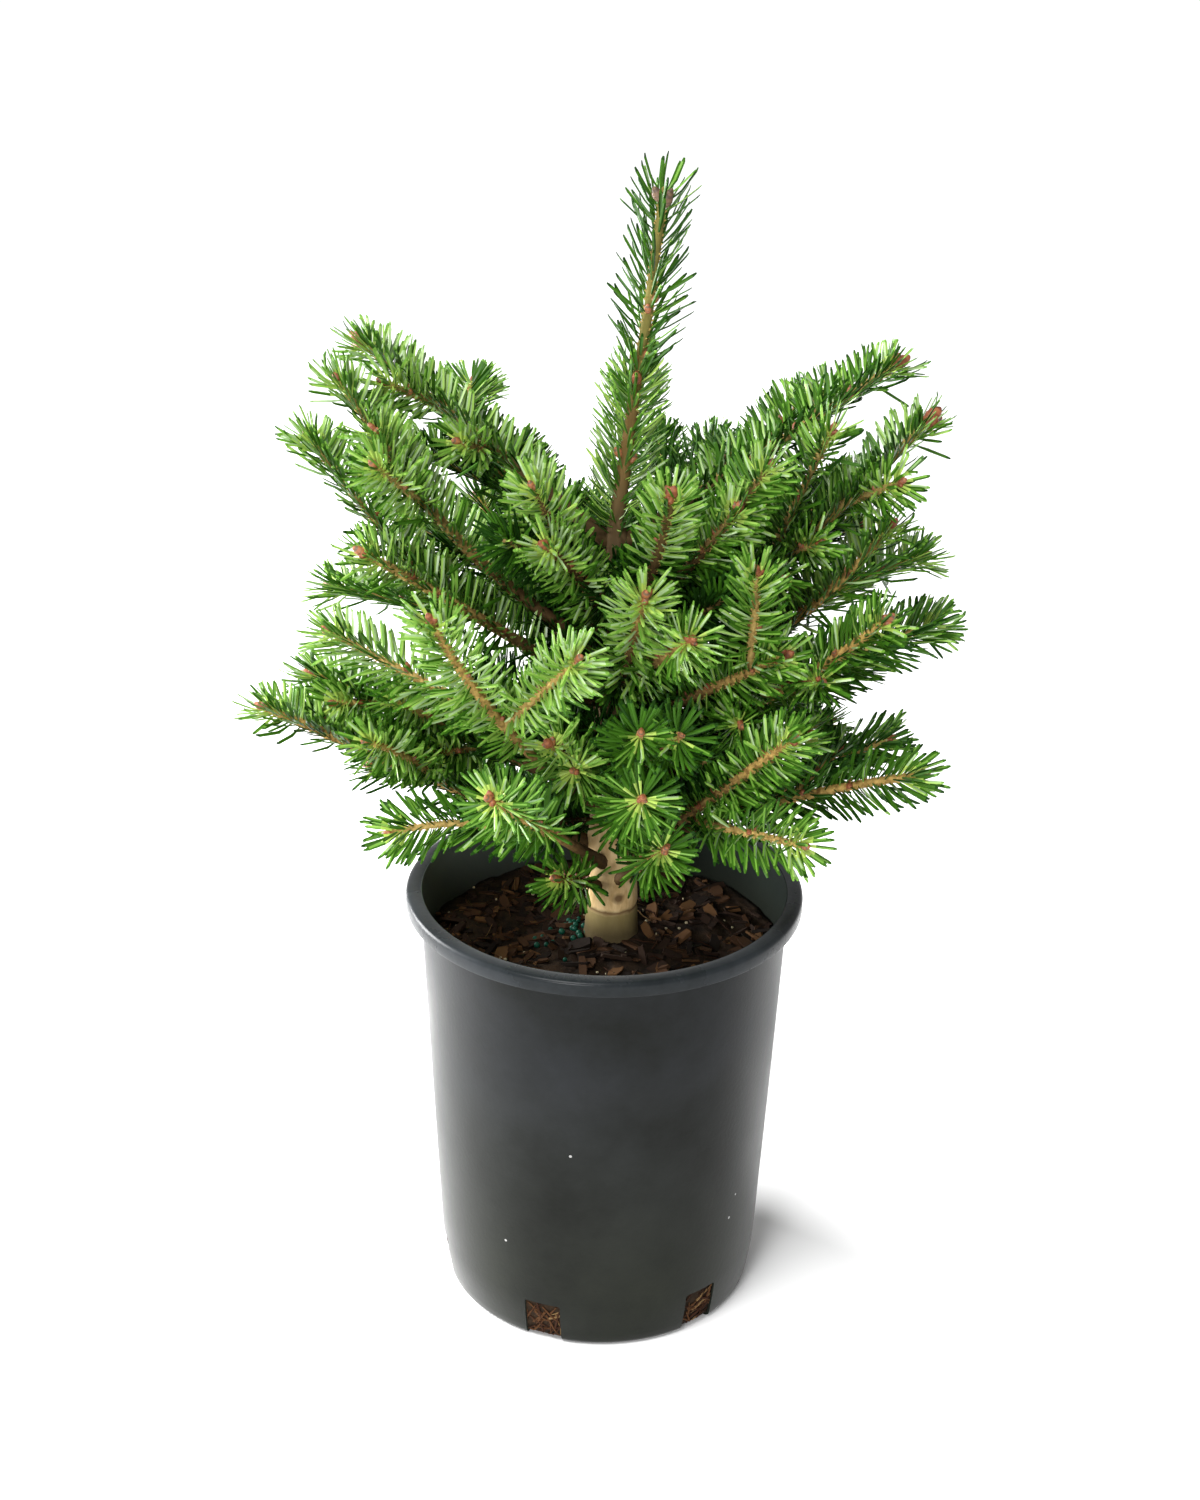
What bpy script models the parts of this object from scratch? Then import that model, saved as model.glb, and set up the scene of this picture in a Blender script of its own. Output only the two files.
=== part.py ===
# Potted Nordmann fir: a young tree in a round nursery pot, in metres, +Z up.
# The origin is the centre of the pot's flat underside. The front of the tree faces -Y.
# A bearing is an angle in plan, in degrees: 0 is +X, 90 is +Y and 270 is the front.
# A rise is an angle above the horizontal, in degrees.
import math
import random

import bmesh
import bpy
from mathutils import Vector
from mathutils.bvhtree import BVHTree
from mathutils.kdtree import KDTree

GAP = 0.0003  # clearance between solids that touch on the real plant

# Pot: a thin moulded wall with a turned-down rim and square drain notches at its foot
POT_HEIGHT = 0.247
POT_BASE_RADIUS = 0.090
POT_TOP_RADIUS = 0.1025
POT_RIM_RADIUS = 0.110
POT_WALL = 0.0016
POT_FLOOR = 0.003
POT_BOTTOM_ROUND = 0.0025
RIM_HEIGHT = 0.0085
RIM_WALL = 0.0018
RIM_ROUND = 0.0012
NOTCH_COUNT = 6
NOTCH_BEARING = 250
NOTCH_WIDTH = 0.021
NOTCH_HEIGHT = 0.027
NOTCH_DEPTH = 0.010
TURNED_STEPS = 48
SHARP_ANGLE = 65  # degrees; the shading is smooth over lesser edges

SOIL_TOP = 0.212

# Trunk: height, lean toward +X and radius, from the flared foot to the tip of the leader
TRUNK_SIDES = 12
TRUNK = (
    (SOIL_TOP + GAP, 0.0040, 0.0170),
    (0.221, 0.0040, 0.0147),
    (0.262, 0.0039, 0.0134),
    (0.330, 0.0036, 0.0110),
    (0.400, 0.0033, 0.0084),
    (0.446, 0.0031, 0.0062),
    (0.462, 0.0030, 0.0038),
    (0.534, 0.0113, 0.0027),
    (0.626, 0.0222, 0.0021),
    (0.634, 0.0231, 0.0010),
)

# Boughs: foot is the height on the trunk's centre line. Bearing and rise are those at the foot, and
# lift is what the rise has changed by at the tip. The first part of the length, up to bare, is a limb
# with no needles. Where bare is 0 the needles start at the trunk. Each side shoot has its place along
# the bough, its bearing, rise, lift and length.
BOUGHS = {
    "upper_left": dict(foot=0.446, bearing=165, rise=35, lift=0, length=0.169, bare=0.36, shoots=(
        (0.62, 85, 8, 0, 0.049),)),
    "left_high": dict(foot=0.385, bearing=194, rise=31, lift=30, length=0.184, bare=0.40, shoots=(
        (0.70, 165, 50, 5, 0.083), (0.70, 230, 41, 0, 0.055))),
    "left_mid": dict(foot=0.358, bearing=199, rise=38, lift=-4, length=0.167, bare=0.40, shoots=(
        (0.72, 156, 41, 8, 0.105), (0.55, 157, 3, 0, 0.088))),
    "left_front": dict(foot=0.292, bearing=228, rise=36, lift=24, length=0.204, bare=0.46, shoots=(
        (0.57, 173, 27, 0, 0.101), (0.57, 307, 43, 0, 0.084))),
    "left_low": dict(foot=0.268, bearing=183, rise=24, lift=2, length=0.206, bare=0.40, shoots=(
        (0.50, 229, 48, -20, 0.068), (0.58, 140, 16, 0, 0.060))),
    "left_back_low": dict(foot=0.297, bearing=168, rise=22, lift=-6, length=0.180, bare=0.40, shoots=(
        (0.50, 228, 37, 0, 0.063),)),
    "front_left_low": dict(foot=0.258, bearing=243, rise=36, lift=0, length=0.167, bare=0.32, shoots=(
        (0.40, 193, 28, -38, 0.097),)),
    "right_front_low": dict(foot=0.258, bearing=318, rise=43, lift=2, length=0.166, bare=0.32, shoots=(
        (0.60, 345, 41, 0, 0.061), (0.42, 314, 10, 0, 0.085))),
    "right_low": dict(foot=0.262, bearing=349, rise=33, lift=-20, length=0.179, bare=0.36, shoots=(
        (0.45, 13, 30, -12, 0.089),)),
    "right_mid": dict(foot=0.325, bearing=340, rise=24, lift=22, length=0.178, bare=0.38, shoots=(
        (0.55, 23, 20, -8, 0.104), (0.48, 43, 2, 0, 0.092))),
    "right_high": dict(foot=0.355, bearing=358, rise=18, lift=38, length=0.180, bare=0.45, shoots=(
        (0.73, 25, 13, 0, 0.058),)),
    "upper_right": dict(foot=0.446, bearing=12, rise=31, lift=2, length=0.172, bare=0.34, shoots=(
        (0.50, 58, 20, 0, 0.055),)),
    "right_upper": dict(foot=0.375, bearing=0, rise=33, lift=18, length=0.211, bare=0.36, shoots=(
        (0.45, 351, 68, 0, 0.087), (0.55, 48, 26, 0, 0.060))),
    "front_right_high": dict(foot=0.400, bearing=330, rise=41, lift=16, length=0.105, bare=0.30, shoots=(
        (0.45, 344, 50, 10, 0.083),)),
    "back_left_high": dict(foot=0.405, bearing=136, rise=32, lift=6, length=0.150, bare=0.34, shoots=(
        (0.50, 98, 14, 0, 0.058), (0.60, 175, 24, 0, 0.062))),
    "back_right_high": dict(foot=0.430, bearing=56, rise=27, lift=0, length=0.108, bare=0.34, shoots=(
        (0.50, 18, 22, 0, 0.050), (0.50, 95, 20, 0, 0.060))),
    "back_left_mid": dict(foot=0.345, bearing=121, rise=26, lift=4, length=0.175, bare=0.34, shoots=(
        (0.50, 85, 24, 0, 0.080), (0.60, 160, 22, 0, 0.075))),
    "back_right_mid": dict(foot=0.360, bearing=36, rise=28, lift=6, length=0.175, bare=0.36, shoots=(
        (0.55, 72, 26, 0, 0.080), (0.65, 5, 22, 0, 0.058))),
    "back_mid": dict(foot=0.315, bearing=78, rise=22, lift=4, length=0.175, bare=0.34, shoots=(
        (0.50, 45, 20, 0, 0.080), (0.50, 112, 20, 0, 0.080))),
    "back_left_low": dict(foot=0.262, bearing=150, rise=14, lift=2, length=0.170, bare=0.36, shoots=(
        (0.50, 115, 14, 0, 0.075), (0.60, 185, 10, 0, 0.050))),
    "back_right_low": dict(foot=0.268, bearing=50, rise=18, lift=0, length=0.170, bare=0.34, shoots=(
        (0.50, 15, 14, 0, 0.075), (0.55, 85, 16, 0, 0.070))),
    "back_high": dict(foot=0.386, bearing=97, rise=14, lift=6, length=0.135, bare=0, shoots=(
        (0.45, 60, 14, 0, 0.060), (0.50, 135, 12, 0, 0.055))),
    "back_low": dict(foot=0.255, bearing=104, rise=16, lift=0, length=0.150, bare=0, shoots=(
        (0.45, 72, 12, 0, 0.070), (0.50, 138, 12, 0, 0.065))),
    "left_inner": dict(foot=0.305, bearing=239, rise=39, lift=0, length=0.082, bare=0, shoots=(
        (0.50, 262, 23, 0, 0.036),)),
    "front_left_foot": dict(foot=0.243, bearing=238, rise=36, lift=-12, length=0.064, bare=0, shoots=()),
    "front_mid": dict(foot=0.283, bearing=278, rise=33, lift=0, length=0.120, bare=0, shoots=()),
    "front_foot": dict(foot=0.248, bearing=287, rise=36, lift=0, length=0.110, bare=0, shoots=()),
    "front_fork": dict(foot=0.308, bearing=291, rise=37, lift=0, length=0.114, bare=0, shoots=(
        (0.24, 274, 38, 0, 0.090),)),
    "right_front": dict(foot=0.340, bearing=327, rise=34, lift=0, length=0.122, bare=0, shoots=(
        (0.82, 269, 70, 5, 0.063),)),
    "front_right_mid": dict(foot=0.365, bearing=292, rise=34, lift=0, length=0.118, bare=0, shoots=()),
    "front_right_top": dict(foot=0.400, bearing=298, rise=43, lift=30, length=0.107, bare=0, shoots=()),
    "front_high": dict(foot=0.355, bearing=279, rise=46, lift=4, length=0.129, bare=0, shoots=()),
    "front_left_high": dict(foot=0.395, bearing=239, rise=56, lift=-20, length=0.101, bare=0, shoots=(
        (0.40, 218, 60, 0, 0.076),)),
}
PATH_STEPS = 24
LINE_POINTS = 40  # points that a shoot or the trunk is measured by where masses share out the space
LIMB_SIDES = 6
LIMB_FOOT_RADIUS = 0.0034
LIMB_TIP_RADIUS = 0.0027
LIMB_STEPS = 4

# Sprays: a slim four-sided core with a needle on its faces, ring by ring. Each needle stands for a few.
CORE_BASE_RADIUS = 0.0026
CORE_TIP_RADIUS = 0.0016
SIDE_CORE_RADIUS = 0.0022
RING_PITCH = 0.009
NEEDLE_LENGTH = 0.022
TIP_TUFT = 0.017
SIDE_SHOOT_BARE = 0.011
NEEDLE_LEAN_BASE = 64  # degrees between a needle and its shoot
NEEDLE_LEAN_TIP = 34
NEEDLE_ANGLES = (38, 104, 256, 322)  # round the shoot, from its upper side
LOWER_FACES = (1, 2)  # these carry a needle on every other ring
NEEDLE_SCATTER = 12  # degrees either way, round the shoot
NEEDLE_SIZES = (0.90, 1.08)
SPACE_MARGIN = 0.0022
NEEDLE_CUT = 0.1  # a needle is drawn back by this share at a time
SHORTEST_NEEDLE = 0.4  # of the full length, below which a needle is left out

# Leader: two sleeves of needles round the top of the trunk, with the trunk's own lean
LEADER_SLEEVES = {"leader_lower": (0.466, 0.532), "leader_upper": (0.537, 0.625)}
LEADER_SIDES = 6
LEADER_WALL = 0.0010
LEADER_CLEARANCE = 1.5 * GAP  # round the trunk, more than GAP as both have flat sides
LEADER_NEEDLE = 0.023
LEADER_LEAN_BASE = 54
LEADER_LEAN_TIP = 20
LEADER_SIZES = (0.92, 1.06)
LEADER_TOP = 0.652

COLOURS = {
    "pot": ((0.030, 0.032, 0.034, 1), 0.45),
    "soil": ((0.055, 0.030, 0.018, 1), 0.95),
    "trunk": ((0.42, 0.31, 0.19, 1), 0.75),
    "bough": ((0.30, 0.20, 0.11, 1), 0.8),
    "foliage": ((0.075, 0.20, 0.035, 1), 0.5),
    "leader": ((0.060, 0.17, 0.035, 1), 0.5),
}


def clear_scene():
    for obj in list(bpy.data.objects):
        bpy.data.objects.remove(obj, do_unlink=True)


def finish_look(obj, kind):
    colour, roughness = COLOURS[kind]
    material = bpy.data.materials.new(obj.name)
    material.use_nodes = True
    shader = material.node_tree.nodes["Principled BSDF"]
    shader.inputs["Base Color"].default_value = colour
    shader.inputs["Roughness"].default_value = roughness
    shader.inputs["Metallic"].default_value = 0
    obj.data.materials.clear()
    obj.data.materials.append(material)


def depsgraph_now():
    bpy.context.view_layer.update()
    return bpy.context.evaluated_depsgraph_get()


def add_object(name, mesh):
    obj = bpy.data.objects.new(name, mesh)
    bpy.context.scene.collection.objects.link(obj)
    return obj


def add_solid(name, verts, faces):
    mesh = bpy.data.meshes.new(name)
    mesh.from_pydata([tuple(v) for v in verts], [], faces)
    mesh.validate()
    return add_object(name, mesh)


def soften(mesh):
    mesh.shade_smooth()
    mesh.set_sharp_from_angle(angle=math.radians(SHARP_ANGLE))


def heading(bearing, rise):
    bearing = math.radians(bearing)
    rise = math.radians(rise)
    flat = math.cos(rise)
    return Vector((flat * math.cos(bearing), flat * math.sin(bearing), math.sin(rise)))


# Turned pieces: the pot and the soil in it

def turned(name, profile):
    bm = bmesh.new()
    verts = [bm.verts.new((radius, 0, height)) for radius, height in profile]
    edges = [bm.edges.new(pair) for pair in zip(verts, verts[1:])]
    bmesh.ops.spin(bm, geom=verts + edges, cent=(0, 0, 0), axis=(0, 0, 1), angle=math.tau,
                   steps=TURNED_STEPS, use_merge=True)
    bmesh.ops.remove_doubles(bm, verts=bm.verts, dist=1e-6)
    bmesh.ops.dissolve_degenerate(bm, edges=bm.edges, dist=1e-7)
    bmesh.ops.recalc_face_normals(bm, faces=bm.faces)
    mesh = bpy.data.meshes.new(name)
    bm.to_mesh(mesh)
    bm.free()
    soften(mesh)
    return add_object(name, mesh)


def pot_inner_radius(height):
    base = POT_BASE_RADIUS - POT_WALL
    top = POT_TOP_RADIUS - POT_WALL
    return base + (top - base) * height / POT_HEIGHT


def make_pot():
    under_rim = POT_HEIGHT - RIM_WALL
    skirt = POT_RIM_RADIUS - RIM_WALL
    outline = [
        (0, 0),
        (POT_BASE_RADIUS - POT_BOTTOM_ROUND, 0),
        (POT_BASE_RADIUS, POT_BOTTOM_ROUND),
        (POT_TOP_RADIUS, under_rim),
        (skirt, under_rim),
        (skirt, POT_HEIGHT - RIM_HEIGHT),
        (POT_RIM_RADIUS, POT_HEIGHT - RIM_HEIGHT),
        (POT_RIM_RADIUS, POT_HEIGHT - RIM_ROUND),
        (POT_RIM_RADIUS - RIM_ROUND, POT_HEIGHT),
        (pot_inner_radius(POT_HEIGHT), POT_HEIGHT),
        (pot_inner_radius(POT_FLOOR), POT_FLOOR),
        (0, POT_FLOOR),
    ]
    pot = turned("pot", outline)
    cutter = make_notch_cutter()
    notches = pot.modifiers.new("notches", "BOOLEAN")
    notches.operation = "DIFFERENCE"
    notches.object = cutter
    finish_look(pot, "pot")


def make_notch_cutter():
    bm = bmesh.new()
    outer = POT_BASE_RADIUS + NOTCH_DEPTH
    inner = POT_BASE_RADIUS - NOTCH_DEPTH
    for i in range(NOTCH_COUNT):
        bearing = math.radians(NOTCH_BEARING + 360 * i / NOTCH_COUNT)
        out = Vector((math.cos(bearing), math.sin(bearing), 0))
        across = Vector((-out.y, out.x, 0)) * NOTCH_WIDTH / 2
        corners = [out * inner - across, out * outer - across, out * outer + across, out * inner + across]
        low = [bm.verts.new(corner - Vector((0, 0, NOTCH_HEIGHT))) for corner in corners]
        face = bm.faces.new(low[::-1])
        raised = bmesh.ops.extrude_face_region(bm, geom=[face])
        moved = [item for item in raised["geom"] if isinstance(item, bmesh.types.BMVert)]
        bmesh.ops.translate(bm, verts=moved, vec=(0, 0, 2 * NOTCH_HEIGHT))
    bmesh.ops.recalc_face_normals(bm, faces=bm.faces)
    mesh = bpy.data.meshes.new("notch_cutter")
    bm.to_mesh(mesh)
    bm.free()
    cutter = add_object("notch_cutter", mesh)
    cutter.hide_render = True
    cutter.display_type = "WIRE"
    return cutter


def make_soil():
    bottom = POT_FLOOR + GAP
    outline = [
        (0, bottom),
        (pot_inner_radius(bottom) - GAP, bottom),
        (pot_inner_radius(SOIL_TOP) - GAP, SOIL_TOP),
        (0, SOIL_TOP),
    ]
    finish_look(turned("soil", outline), "soil")


# Trunk and limbs: tapering tubes

def trunk_at(height):
    for (z0, x0, r0), (z1, x1, r1) in zip(TRUNK, TRUNK[1:]):
        if height <= z1:
            break
    share = (height - z0) / (z1 - z0)
    return Vector((x0 + (x1 - x0) * share, 0, height)), r0 + (r1 - r0) * share


def ring(centre, radius, side, up, count):
    angles = [math.tau * i / count for i in range(count)]
    return [centre + radius * (math.cos(a) * up + math.sin(a) * side) for a in angles]


def level_ring(centre, radius, count):
    return ring(centre, radius, Vector((0, 1, 0)), Vector((1, 0, 0)), count)


def ring_faces(ring_count, count):
    faces = []
    for r in range(ring_count - 1):
        for i in range(count):
            j = (i + 1) % count
            faces.append((r * count + i, r * count + j, (r + 1) * count + j, (r + 1) * count + i))
    return faces


def cap_faces(ring_count, count):
    last = (ring_count - 1) * count
    return [tuple(range(count))[::-1], tuple(last + i for i in range(count))]


def tube(name, rings):
    count = len(rings[0])
    faces = ring_faces(len(rings), count) + cap_faces(len(rings), count)
    return add_solid(name, [v for r in rings for v in r], faces)


def make_trunk():
    rings = [level_ring(Vector((lean, 0, height)), radius, TRUNK_SIDES) for height, lean, radius in TRUNK]
    trunk = tube("trunk", rings)
    soften(trunk.data)
    finish_look(trunk, "trunk")
    return trunk


def path_from(start, bearing, rise, lift, length):
    points = [start]
    for i in range(PATH_STEPS):
        share = (i + 0.5) / PATH_STEPS
        points.append(points[-1] + heading(bearing, rise + lift * share) * length / PATH_STEPS)
    return points


def point_along(path, share):
    place = min(max(share, 0), 1) * PATH_STEPS
    i = min(int(place), PATH_STEPS - 1)
    return path[i].lerp(path[i + 1], place - i)


def direction_along(path, share):
    step = 0.5 / PATH_STEPS
    return (point_along(path, share + step) - point_along(path, share - step)).normalized()


def frame_along(path, share):
    forward = direction_along(path, share)
    up = Vector((0, 0, 1)) - forward * forward.z
    up.normalize()
    return point_along(path, share), forward, up, forward.cross(up)


def seat_share(path, length, radius, trunk_tree):
    # The share of the path at which a cap of this radius first stands GAP clear of the trunk
    share = 1 / PATH_STEPS
    closeness = GAP / 20
    for _ in range(2 * PATH_STEPS):
        centre, _, up, side = frame_along(path, share)
        points = ring(centre, radius, side, up, LIMB_SIDES)
        nearest = min(signed_distance(trunk_tree, p) for p in points)
        if abs(nearest - GAP) < closeness:
            break
        share += (GAP - nearest) / length
    return share


def signed_distance(tree, point):
    place, normal, _, distance = tree.find_nearest(point)
    return distance if (point - place).dot(normal) > 0 else -distance


def make_limb(name, path, start, end):
    rings = []
    for i in range(LIMB_STEPS + 1):
        share = i / LIMB_STEPS
        centre, _, up, side = frame_along(path, start + (end - start) * share)
        radius = LIMB_FOOT_RADIUS + (LIMB_TIP_RADIUS - LIMB_FOOT_RADIUS) * share
        rings.append(ring(centre, radius, side, up, LIMB_SIDES))
    limb = tube(name, rings)
    soften(limb.data)
    finish_look(limb, "bough")
    return limb


# Sprays: each is one closed body, a core with its needles as pyramids on the core's own faces

class Spray:
    def __init__(self, mass, rings, tips):
        self.mass = mass
        self.rings = rings
        self.tips = tips  # (ring, face) to the needle's tip
        self.cap_tip = None

    def shape(self):
        count = len(self.rings[0])
        verts = [v for r in self.rings for v in r]
        faces = []
        needles = []
        for index, face in enumerate(ring_faces(len(self.rings), count)):
            key = (index // count, index % count)
            if key in self.tips:
                verts.append(self.tips[key])
                for i in range(4):
                    faces.append((face[i], face[(i + 1) % 4], len(verts) - 1))
                    needles.append(key)
            else:
                faces.append(face)
                needles.append(None)
        foot, head = cap_faces(len(self.rings), count)
        faces.append(foot)
        needles.append(None)
        verts.append(self.cap_tip)
        for i in range(count):
            faces.append((head[i], head[(i + 1) % count], len(verts) - 1))
            needles.append(None)
        return verts, faces, needles


class Space:
    # A mass may use the points that lie nearer to its own shoots than to any other shoot, limb or trunk
    def __init__(self, lines):
        self.trees = {}
        for owner, points in lines.items():
            tree = KDTree(len(points))
            for i, point in enumerate(points):
                tree.insert(point, i)
            tree.balance()
            self.trees[owner] = tree

    def holds(self, owner, point):
        own = self.trees[owner].find(point)[2]
        for other, tree in self.trees.items():
            if other != owner and tree.find(point)[2] < own + SPACE_MARGIN:
                return False
        return True


def fitted_tip(space, owner, base, offset):
    # The tip of a needle, drawn back until it lies in its mass's space, or None where it would be a stub
    share = 1.0
    while share >= SHORTEST_NEEDLE:
        tip = base + offset * share
        if space.holds(owner, tip):
            return tip
        share -= NEEDLE_CUT
    return None


def make_spray(mass, path, start, bare, length, radius, space, dice):
    ring_count = max(3, round(length * (1 - start) / RING_PITCH) + 1)
    rings = []
    frames = []
    for i in range(ring_count):
        share = start + (1 - start) * i / (ring_count - 1)
        centre, forward, up, side = frame_along(path, share)
        size = radius + (CORE_TIP_RADIUS - radius) * i / (ring_count - 1)
        rings.append(ring(centre, size, side, up, 4))
        frames.append((centre, forward, up, side))
    tips = {}
    for i in range(ring_count - 1):
        share = (i + 1) / (ring_count - 1)
        lean = math.radians(NEEDLE_LEAN_BASE + (NEEDLE_LEAN_TIP - NEEDLE_LEAN_BASE) * share ** 2)
        centre, forward, up, side = frames[i]
        for face, angle in enumerate(NEEDLE_ANGLES):
            turn = math.radians(angle + dice.uniform(-NEEDLE_SCATTER, NEEDLE_SCATTER))
            size = NEEDLE_LENGTH * dice.uniform(*NEEDLE_SIZES)
            skipped = face in LOWER_FACES and (i + face) % 2
            if i * RING_PITCH < bare or skipped:
                continue
            base = sum((rings[i + a][(face + b) % 4] for a in (0, 1) for b in (0, 1)), Vector()) / 4
            out = math.cos(turn) * up + math.sin(turn) * side
            offset = size * (math.cos(lean) * forward + math.sin(lean) * out)
            tip = fitted_tip(space, mass, base, offset)
            if tip:
                tips[(i, face)] = tip
    spray = Spray(mass, rings, tips)
    centre, forward, _, _ = frames[-1]
    tuft = fitted_tip(space, mass, centre, forward * TIP_TUFT)
    spray.cap_tip = tuft or centre + forward * TIP_TUFT * SHORTEST_NEEDLE
    return spray


def drop_clashing_needles(sprays, fixed_trees):
    # Leaves out each needle that touches a limb, the trunk or another mass
    while True:
        shapes = [spray.shape() for spray in sprays]
        trees = [BVHTree.FromPolygons(verts, faces) for verts, faces, _ in shapes]
        dropped = 0
        for i, spray in enumerate(sprays):
            others = list(fixed_trees)
            others += [trees[j] for j in range(i) if sprays[j].mass != spray.mass]
            for tree in others:
                for face, _ in trees[i].overlap(tree):
                    key = shapes[i][2][face]
                    if key in spray.tips:
                        del spray.tips[key]
                        dropped += 1
        if not dropped:
            return


def join_mass(name, sprays):
    # One union on a collection joins the sprays of a mass, and the collection's objects are removed
    pieces = []
    for i, spray in enumerate(sprays):
        verts, faces, _ = spray.shape()
        pieces.append(add_solid(name if i == 0 else f"{name}_{i}", verts, faces))
    body = pieces[0]
    if len(pieces) > 1:
        group = bpy.data.collections.new(name + "_shoots")
        bpy.context.scene.collection.children.link(group)
        for piece in pieces[1:]:
            bpy.context.scene.collection.objects.unlink(piece)
            group.objects.link(piece)
        union = body.modifiers.new("join", "BOOLEAN")
        union.operation = "UNION"
        union.operand_type = "COLLECTION"
        union.collection = group
        union.solver = "MANIFOLD"
        joined = bpy.data.meshes.new_from_object(body.evaluated_get(depsgraph_now()))
        body.modifiers.clear()
        body.data = joined
        for piece in pieces[1:]:
            bpy.data.objects.remove(piece, do_unlink=True)
        bpy.data.collections.remove(group)
    keep_outer_shell(body.data)
    finish_look(body, "foliage")
    return body


def keep_outer_shell(mesh):
    # Drops loose scraps and fills sealed hollows by keeping only the largest shell
    bm = bmesh.new()
    bm.from_mesh(mesh)
    left = set(bm.faces)
    shells = []
    while left:
        shell = set()
        reached = [left.pop()]
        while reached:
            face = reached.pop()
            shell.add(face)
            near = {f for edge in face.edges for f in edge.link_faces} & left
            left -= near
            reached += near
        shells.append(shell)
    shells.sort(key=len)
    scraps = [face for shell in shells[:-1] for face in shell]
    bmesh.ops.delete(bm, geom=scraps, context="FACES")
    bm.to_mesh(mesh)
    bm.free()


# Leader sleeves: a tube round the leader, clear of it, with needles on its outer faces

def make_leader_sleeve(name, low, high, space, dice):
    ring_count = round((high - low) / RING_PITCH) + 1
    outer = []
    inner = []
    centres = []
    flat = math.cos(math.pi / LEADER_SIDES)
    for i in range(ring_count):
        centre, radius = trunk_at(low + (high - low) * i / (ring_count - 1))
        bore = (radius + LEADER_CLEARANCE) / flat
        centres.append(centre)
        inner.append(level_ring(centre, bore, LEADER_SIDES))
        outer.append(level_ring(centre, bore + LEADER_WALL, LEADER_SIDES))
    verts = [v for r in outer for v in r] + [v for r in (inner[0], inner[-1]) for v in r]
    faces = []
    forward = (centres[-1] - centres[0]).normalized()
    for index, face in enumerate(ring_faces(ring_count, LEADER_SIDES)):
        row = index // LEADER_SIDES
        share = row / (ring_count - 2)
        base = sum((verts[i] for i in face), Vector()) / 4
        out = base - centres[row].lerp(centres[row + 1], 0.5)
        out.normalize()
        lean = math.radians(LEADER_LEAN_BASE + (LEADER_LEAN_TIP - LEADER_LEAN_BASE) * share ** 2)
        size = LEADER_NEEDLE * dice.uniform(*LEADER_SIZES)
        if row == ring_count - 2 and base.z > LEADER_TOP - 2 * LEADER_NEEDLE:
            size = (LEADER_TOP - base.z) / math.cos(lean)
        offset = size * (math.cos(lean) * forward + math.sin(lean) * out)
        tip = fitted_tip(space, name, base, offset)
        if tip is None:
            faces.append(face)
            continue
        verts.append(tip)
        for i in range(4):
            faces.append((face[i], face[(i + 1) % 4], len(verts) - 1))
    last = (ring_count - 1) * LEADER_SIDES
    foot = ring_count * LEADER_SIDES
    head = foot + LEADER_SIDES
    for i in range(LEADER_SIDES):
        j = (i + 1) % LEADER_SIDES
        faces.append((foot + i, foot + j, j, i))
        faces.append((last + i, last + j, head + j, head + i))
        faces.append((foot + j, foot + i, head + i, head + j))
    sleeve = add_solid("foliage_" + name, verts, faces)
    finish_look(sleeve, "leader")
    return sleeve


def trunk_line(low, high):
    return [trunk_at(low + (high - low) * i / LINE_POINTS)[0] for i in range(LINE_POINTS + 1)]


def path_line(path, start, end):
    return [point_along(path, start + (end - start) * i / LINE_POINTS) for i in range(LINE_POINTS + 1)]


def main():
    clear_scene()
    make_pot()
    make_soil()
    trunk = make_trunk()
    trunk_tree = BVHTree.FromObject(trunk, depsgraph_now())

    # The lines that the space is shared out by: each mass's own shoots, the trunk and the limbs
    plans = {}
    low = TRUNK[0][0]
    high = min(foot for foot, _ in LEADER_SLEEVES.values())
    lines = {"trunk": trunk_line(low, high)[:-1]}
    for sleeve_name, (low, high) in LEADER_SLEEVES.items():
        lines[sleeve_name] = trunk_line(low, high)
    limbs = []
    for name, bough in BOUGHS.items():
        start = trunk_at(bough["foot"])[0]
        path = path_from(start, bough["bearing"], bough["rise"], bough["lift"], bough["length"])
        foot_radius = LIMB_FOOT_RADIUS if bough["bare"] else CORE_BASE_RADIUS
        seat = seat_share(path, bough["length"], foot_radius, trunk_tree)
        mass_start = seat
        if bough["bare"]:
            limbs.append(make_limb("bough_" + name, path, seat, bough["bare"]))
            mass_start = bough["bare"] + GAP / bough["length"]
            lines["limb_" + name] = path_line(path, seat, bough["bare"])
        own = path_line(path, mass_start, 1)
        side_paths = []
        for along, bearing, rise, lift, length in bough["shoots"]:
            side = path_from(point_along(path, along), bearing, rise, lift, length)
            side_paths.append((side, length))
            own += side
        lines[name] = own
        plans[name] = (path, mass_start, bough["length"], side_paths)

    space = Space(lines)
    fixed_trees = [trunk_tree] + [BVHTree.FromObject(limb, depsgraph_now()) for limb in limbs]
    for sleeve_name, (low, high) in LEADER_SLEEVES.items():
        sleeve = make_leader_sleeve(sleeve_name, low, high, space, random.Random(sleeve_name))
        fixed_trees.append(BVHTree.FromObject(sleeve, depsgraph_now()))
    sprays = []
    for name, (path, mass_start, length, side_paths) in plans.items():
        dice = random.Random(name)
        sprays.append(make_spray(name, path, mass_start, 0, length, CORE_BASE_RADIUS, space, dice))
        for side, length in side_paths:
            sprays.append(make_spray(name, side, 0, SIDE_SHOOT_BARE, length, SIDE_CORE_RADIUS, space, dice))
    drop_clashing_needles(sprays, fixed_trees)
    for name in plans:
        join_mass("foliage_" + name, [spray for spray in sprays if spray.mass == name])


main()
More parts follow.
